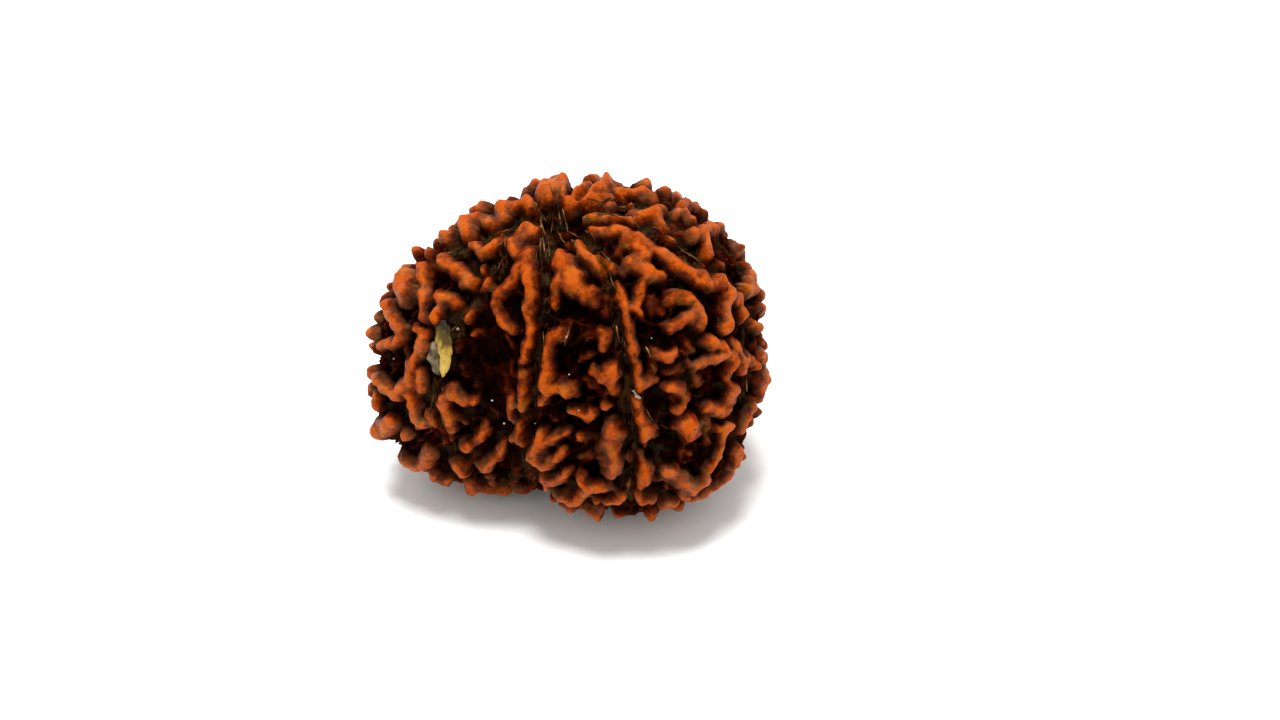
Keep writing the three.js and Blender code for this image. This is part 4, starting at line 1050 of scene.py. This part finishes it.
stoneLook = {
    "stops": [  # colour from the bottom of a hollow to the top of a crest: the crests' own orange over a darker red-brown, with the near-black low end painted shade in the hollows
        (0.0, (0.0002, 0.0001, 0.0001)),
        (0.14, (0.0008, 0.0002, 0.0002)),
        (0.3, (0.0045, 0.0005, 0.0002)),
        (0.46, (0.017, 0.0017, 0.0003)),
        (0.64, (0.052, 0.0055, 0.0005)),
        (0.8, (0.145, 0.018, 0.0008)),
        (1.0, (0.37, 0.056, 0.002)),
    ],
    "range": (-0.9, 1.5),  # millimetres that the first and the last colour stand for
    "heightShare": 0.52,  # how much of the colour follows the height, darker downwards, partly painted shade
    "crownShare": 0.48,  # and how much the nearness of a crest, with darker flanks that are partly painted shade
    "cavityShading": 0.28,  # painted shade and light: how much a crevice darkens and an edge lightens, per millimetre
    "rimLight": 0.09,  # painted light: how much brighter raised parts are towards the rims, away from the front
    "patches": (0.55, 0.7),  # per millimetre, and how far they shift the colour
    "mottle": (2.2, 0.5),
    "speckle": (8.0, 0.25),
    "tints": [  # where, colour, per millimetre, from, to, amount
        ("crest", (0.42, 0.11, 0.005, 1), 0.32, 0.04, 0.22, 0.5),  # yellower patches on the crest tops
        ("raised", (0.17, 0.075, 0.008, 1), 0.9, 0.07, 0.22, 0.45),  # olive
        ("raised", (0.15, 0.014, 0.002, 1), 1.15, 0.05, 0.2, 0.6),  # deep red
        ("rimSheenAndTints", (0.46, 0.19, 0.07, 1), 0.75, -0.1, 0.25, 0.3),  # pale painted sheen towards the rims
        ("rimSheenAndTints", (0.16, 0.03, 0.014, 1), 0.6, 0.03, 0.2, 0.45),  # and redder patches there
        ("flank", (0.022, 0.006, 0.007, 1), 1.2, -0.05, 0.18, 0.5),  # painted pinkish sheen on the flanks
        ("crest", (0.03, 0.006, 0.0025, 1), 1.5, 0.12, 0.26, 0.75),  # old stains
        ("seam", (0.045, 0.025, 0.01, 1), 0.7, -0.06, 0.16, 0.45),  # dust
        ("dusty", (0.055, 0.033, 0.017, 1), 0.6, 0.0, 0.16, 0.35),
    ],
    "fibre": ("seam", (0.07, 0.03, 0.009, 1), 3.2, 0.45),
    # from one height to another, and the value at each
    "roughness": (0.2, 1.2, 0.85, 0.45),
    "specular": (0.3, 1.1, 0.0, 0.1),
    "specularTint": (1.0, 0.5, 0.2, 1),
    "bump": (0.16, 3.0),  # millimetres deep, and lumps per millimetre
    # where a cover starts and where it is full: heights, and shares of a mask
    "raised": (0.2, 0.8),
    "crest": (0.4, 0.85),
    "low": (0.6, 0.0),
    "notDeep": (-1.4, -0.6),
    "rimSheenAndTints": (0.3, 0.8),
    "seam": (0.1, 0.8, 0.04, 1.0),
    "lifted": (0.0, 0.6),
}


def stoneCovers(tree, height):
    # where each kind of tint may lie
    look = stoneLook
    crown, nearSeam, rimSheenAndTints = (addMask(tree, name) for name in ("crown", "seam", "rimSheenAndTints"))
    raised = addRange(tree, height, *look["raised"])
    crest = addRange(tree, crown, *look["crest"])
    low = addRange(tree, height, *look["low"])
    low = addMath(tree, "MULTIPLY", low, addRange(tree, height, *look["notDeep"]))
    return {
        "raised": raised,
        "crest": crest,
        "flank": addMath(tree, "MULTIPLY", raised, addMath(tree, "SUBTRACT", 1.0, crest)),
        "rimSheenAndTints": addMath(tree, "MULTIPLY", raised, rimSheenAndTints),
        "dusty": addMath(tree, "MULTIPLY", low, addRange(tree, rimSheenAndTints, *look["rimSheenAndTints"])),
        "seam": addMath(tree, "MULTIPLY", low, addRange(tree, nearSeam, *look["seam"])),
    }


def stoneFinish():
    look = stoneLook
    finish, tree, shader = newFinish("stone")
    height = addMask(tree, "height")
    # colour from height and nearness of a crest: partly the crests' own orange, partly painted shade in
    # the hollows and on the flanks
    level = addRange(tree, height, *look["range"], kind="LINEAR")
    level = addMath(tree, "MULTIPLY", level, look["heightShare"])
    level = addMath(tree, "MULTIPLY_ADD", addMask(tree, "crown"), look["crownShare"], level)
    # painted shade in the crevices and painted light on the edges
    level = addMath(tree, "MULTIPLY_ADD", addMask(tree, "cavityShading"), look["cavityShading"], level)
    # painted light on raised parts towards the rims
    lifted = addMath(tree, "MULTIPLY", addMask(tree, "rimSheenAndTints"), addRange(tree, height, *look["lifted"]))
    level = addMath(tree, "MULTIPLY_ADD", lifted, look["rimLight"], level)
    for perMm, amount in (look["patches"], look["mottle"], look["speckle"]):
        shift = addGroup(tree, grain, perMm=perMm, amount=amount, detail=4.0)["value"]
        level = addMath(tree, "ADD", level, shift)
    colour = addRamp(tree, level, look["stops"])
    covers = stoneCovers(tree, height)
    for cover, tint, perMm, start, full, amount in look["tints"]:
        patch = {"perMm": perMm, "from": start, "to": full, "amount": amount}
        colour = addGroup(tree, patchwork, under=colour, tint=tint, cover=covers[cover], **patch)["colour"]
    cover, tint, perMm, amount = look["fibre"]
    strands = addMath(tree, "MULTIPLY", addGroup(tree, streaks, perMm=perMm)["mask"], covers[cover])
    colour = addMix(tree, addMath(tree, "MULTIPLY", strands, amount), colour, tint)
    tree.links.new(colour, shader.inputs["Base Color"])
    tree.links.new(addRange(tree, height, *look["roughness"]), shader.inputs["Roughness"])
    tree.links.new(addRange(tree, height, *look["specular"]), shader.inputs["Specular IOR Level"])
    shader.inputs["Specular Tint"].default_value = look["specularTint"]
    deep, perMm = look["bump"]
    addBump(tree, shader, addGroup(tree, grain, perMm=perMm, amount=1.0, detail=5.0)["value"], deep)
    return finish


fibreLook = {
    "grain": (0.9, 1.2),  # per millimetre, and how far it shifts the colour
    "stops": [
        (0.32, (0.012, 0.004, 0.001)),
        (0.48, (0.06, 0.022, 0.005)),
        (0.62, (0.16, 0.072, 0.017)),
        (0.76, (0.42, 0.27, 0.12)),
    ],
    "roughness": 0.55,
    "specular": 0.08,
}

huskLook = {
    "grain": (0.9, 0.9),
    "streaks": (3.5, 0.12, 0.12),  # per millimetre, stretch, and how far they shift the colour
    "tip": 0.75,  # share of the length at which the tip's colour is reached
    "roughness": 0.6,
    "specular": 0.15,
    "bump": 0.06,
    "stops": {
        "straw": [(0.12, (0.012, 0.007, 0.002)), (0.42, (0.075, 0.048, 0.008)), (0.64, (0.32, 0.2, 0.03)),
                  (0.95, (0.5, 0.33, 0.07))],
        "film": [(0.3, (0.02, 0.01, 0.004)), (0.52, (0.06, 0.038, 0.016)), (0.74, (0.26, 0.2, 0.12))],
        "pale": [(0.3, (0.12, 0.09, 0.06)), (0.5, (0.35, 0.3, 0.23)), (0.75, (0.7, 0.68, 0.6))],
    },
    "towardsTip": {"straw": 0.38, "film": 0.0, "pale": 0.0},  # how far the colour changes that way
}


def setShine(shader, look):
    shader.inputs["Roughness"].default_value = look["roughness"]
    shader.inputs["Specular IOR Level"].default_value = look["specular"]


def fibreFinish():
    look = fibreLook
    finish, tree, shader = newFinish("fibre")
    perMm, amount = look["grain"]
    shade = addGroup(tree, grain, perMm=perMm, amount=amount)["value"]
    colour = addRamp(tree, addMath(tree, "ADD", shade, 0.5), look["stops"])
    tree.links.new(colour, shader.inputs["Base Color"])
    setShine(shader, look)
    return finish


def huskFinish(name):
    # dry husk, its colour drawn from streaks, grain and the way to its tip
    look = huskLook
    finish, tree, shader = newFinish(name + "Husk")
    perMm, amount = look["grain"]
    shade = addGroup(tree, grain, perMm=perMm, amount=amount)["value"]
    change = look["towardsTip"][name]
    tip = addRange(tree, addMask(tree, "tip"), 0.0, look["tip"], 0.5 - change, 0.5 + change)
    shade = addMath(tree, "ADD", shade, tip)
    perMm, stretch, amount = look["streaks"]
    lines = addGroup(tree, streaks, perMm=perMm, stretch=stretch)["mask"]
    colour = addRamp(tree, addMath(tree, "MULTIPLY_ADD", lines, amount, shade), look["stops"][name])
    tree.links.new(colour, shader.inputs["Base Color"])
    setShine(shader, look)
    addBump(tree, shader, lines, look["bump"])
    return finish


rudraksha.data.materials.append(stoneFinish())
fibres.data.materials.append(fibreFinish())
husks = {name: huskFinish(name) for name in huskLook["stops"]}
for piece, name in zip(chips + [specks], ("straw", "film", "pale", "pale")):
    piece.data.materials.append(husks[name])
print("finishes made")

studio = {
    "floorSize": 3.0,
    "floorStops": [(0.3, (0.9, 0.9, 0.89)), (0.7, (0.92, 0.92, 0.91))],
    "floorGrain": 0.02,
    "floorRoughness": 0.9,
    "sky": (1.0, 0.99, 0.97, 1),
    "skyStrength": 0.86,
    "lamp": {"bearing": -100, "above": 87, "distance": 0.6, "size": 0.24, "watts": 4.9},
}


def makeStudio():
    size = studio["floorSize"] / 2
    mesh = bpy.data.meshes.new("floor")
    corners = [(-size, -size, 0), (size, -size, 0), (size, size, 0), (-size, size, 0)]
    mesh.from_pydata(corners, [], [(0, 1, 2, 3)])
    floor = bpy.data.objects.new("floor", mesh)
    bpy.context.collection.objects.link(floor)
    finish, tree, shader = newFinish("floor")
    shade = addGroup(tree, grain, perMm=studio["floorGrain"], amount=1.0)["value"]
    tone = addRamp(tree, addMath(tree, "ADD", shade, 0.5), studio["floorStops"])
    tree.links.new(tone, shader.inputs["Base Color"])
    shader.inputs["Roughness"].default_value = studio["floorRoughness"]
    mesh.materials.append(finish)

    world = bpy.data.worlds.new("studio")
    world.use_nodes = True
    background = world.node_tree.nodes["Background"]
    background.inputs["Color"].default_value = studio["sky"]
    background.inputs["Strength"].default_value = studio["skyStrength"]
    bpy.context.scene.world = world

    lamp = studio["lamp"]
    light = bpy.data.lights.new("lamp", "AREA")
    light.shape = "DISK"
    light.size = lamp["size"]
    light.energy = lamp["watts"]
    lampObject = bpy.data.objects.new("lamp", light)
    bpy.context.collection.objects.link(lampObject)
    back = Vector(bearingDirection(lamp["bearing"], 90 - lamp["above"]))
    lampObject.location = back * lamp["distance"]
    lampObject.rotation_euler = (-back).to_track_quat("-Z", "Y").to_euler()
    view = bpy.context.scene.view_settings
    view.view_transform = "Standard"
    view.look = "None"


makeStudio()
print("studio lit")
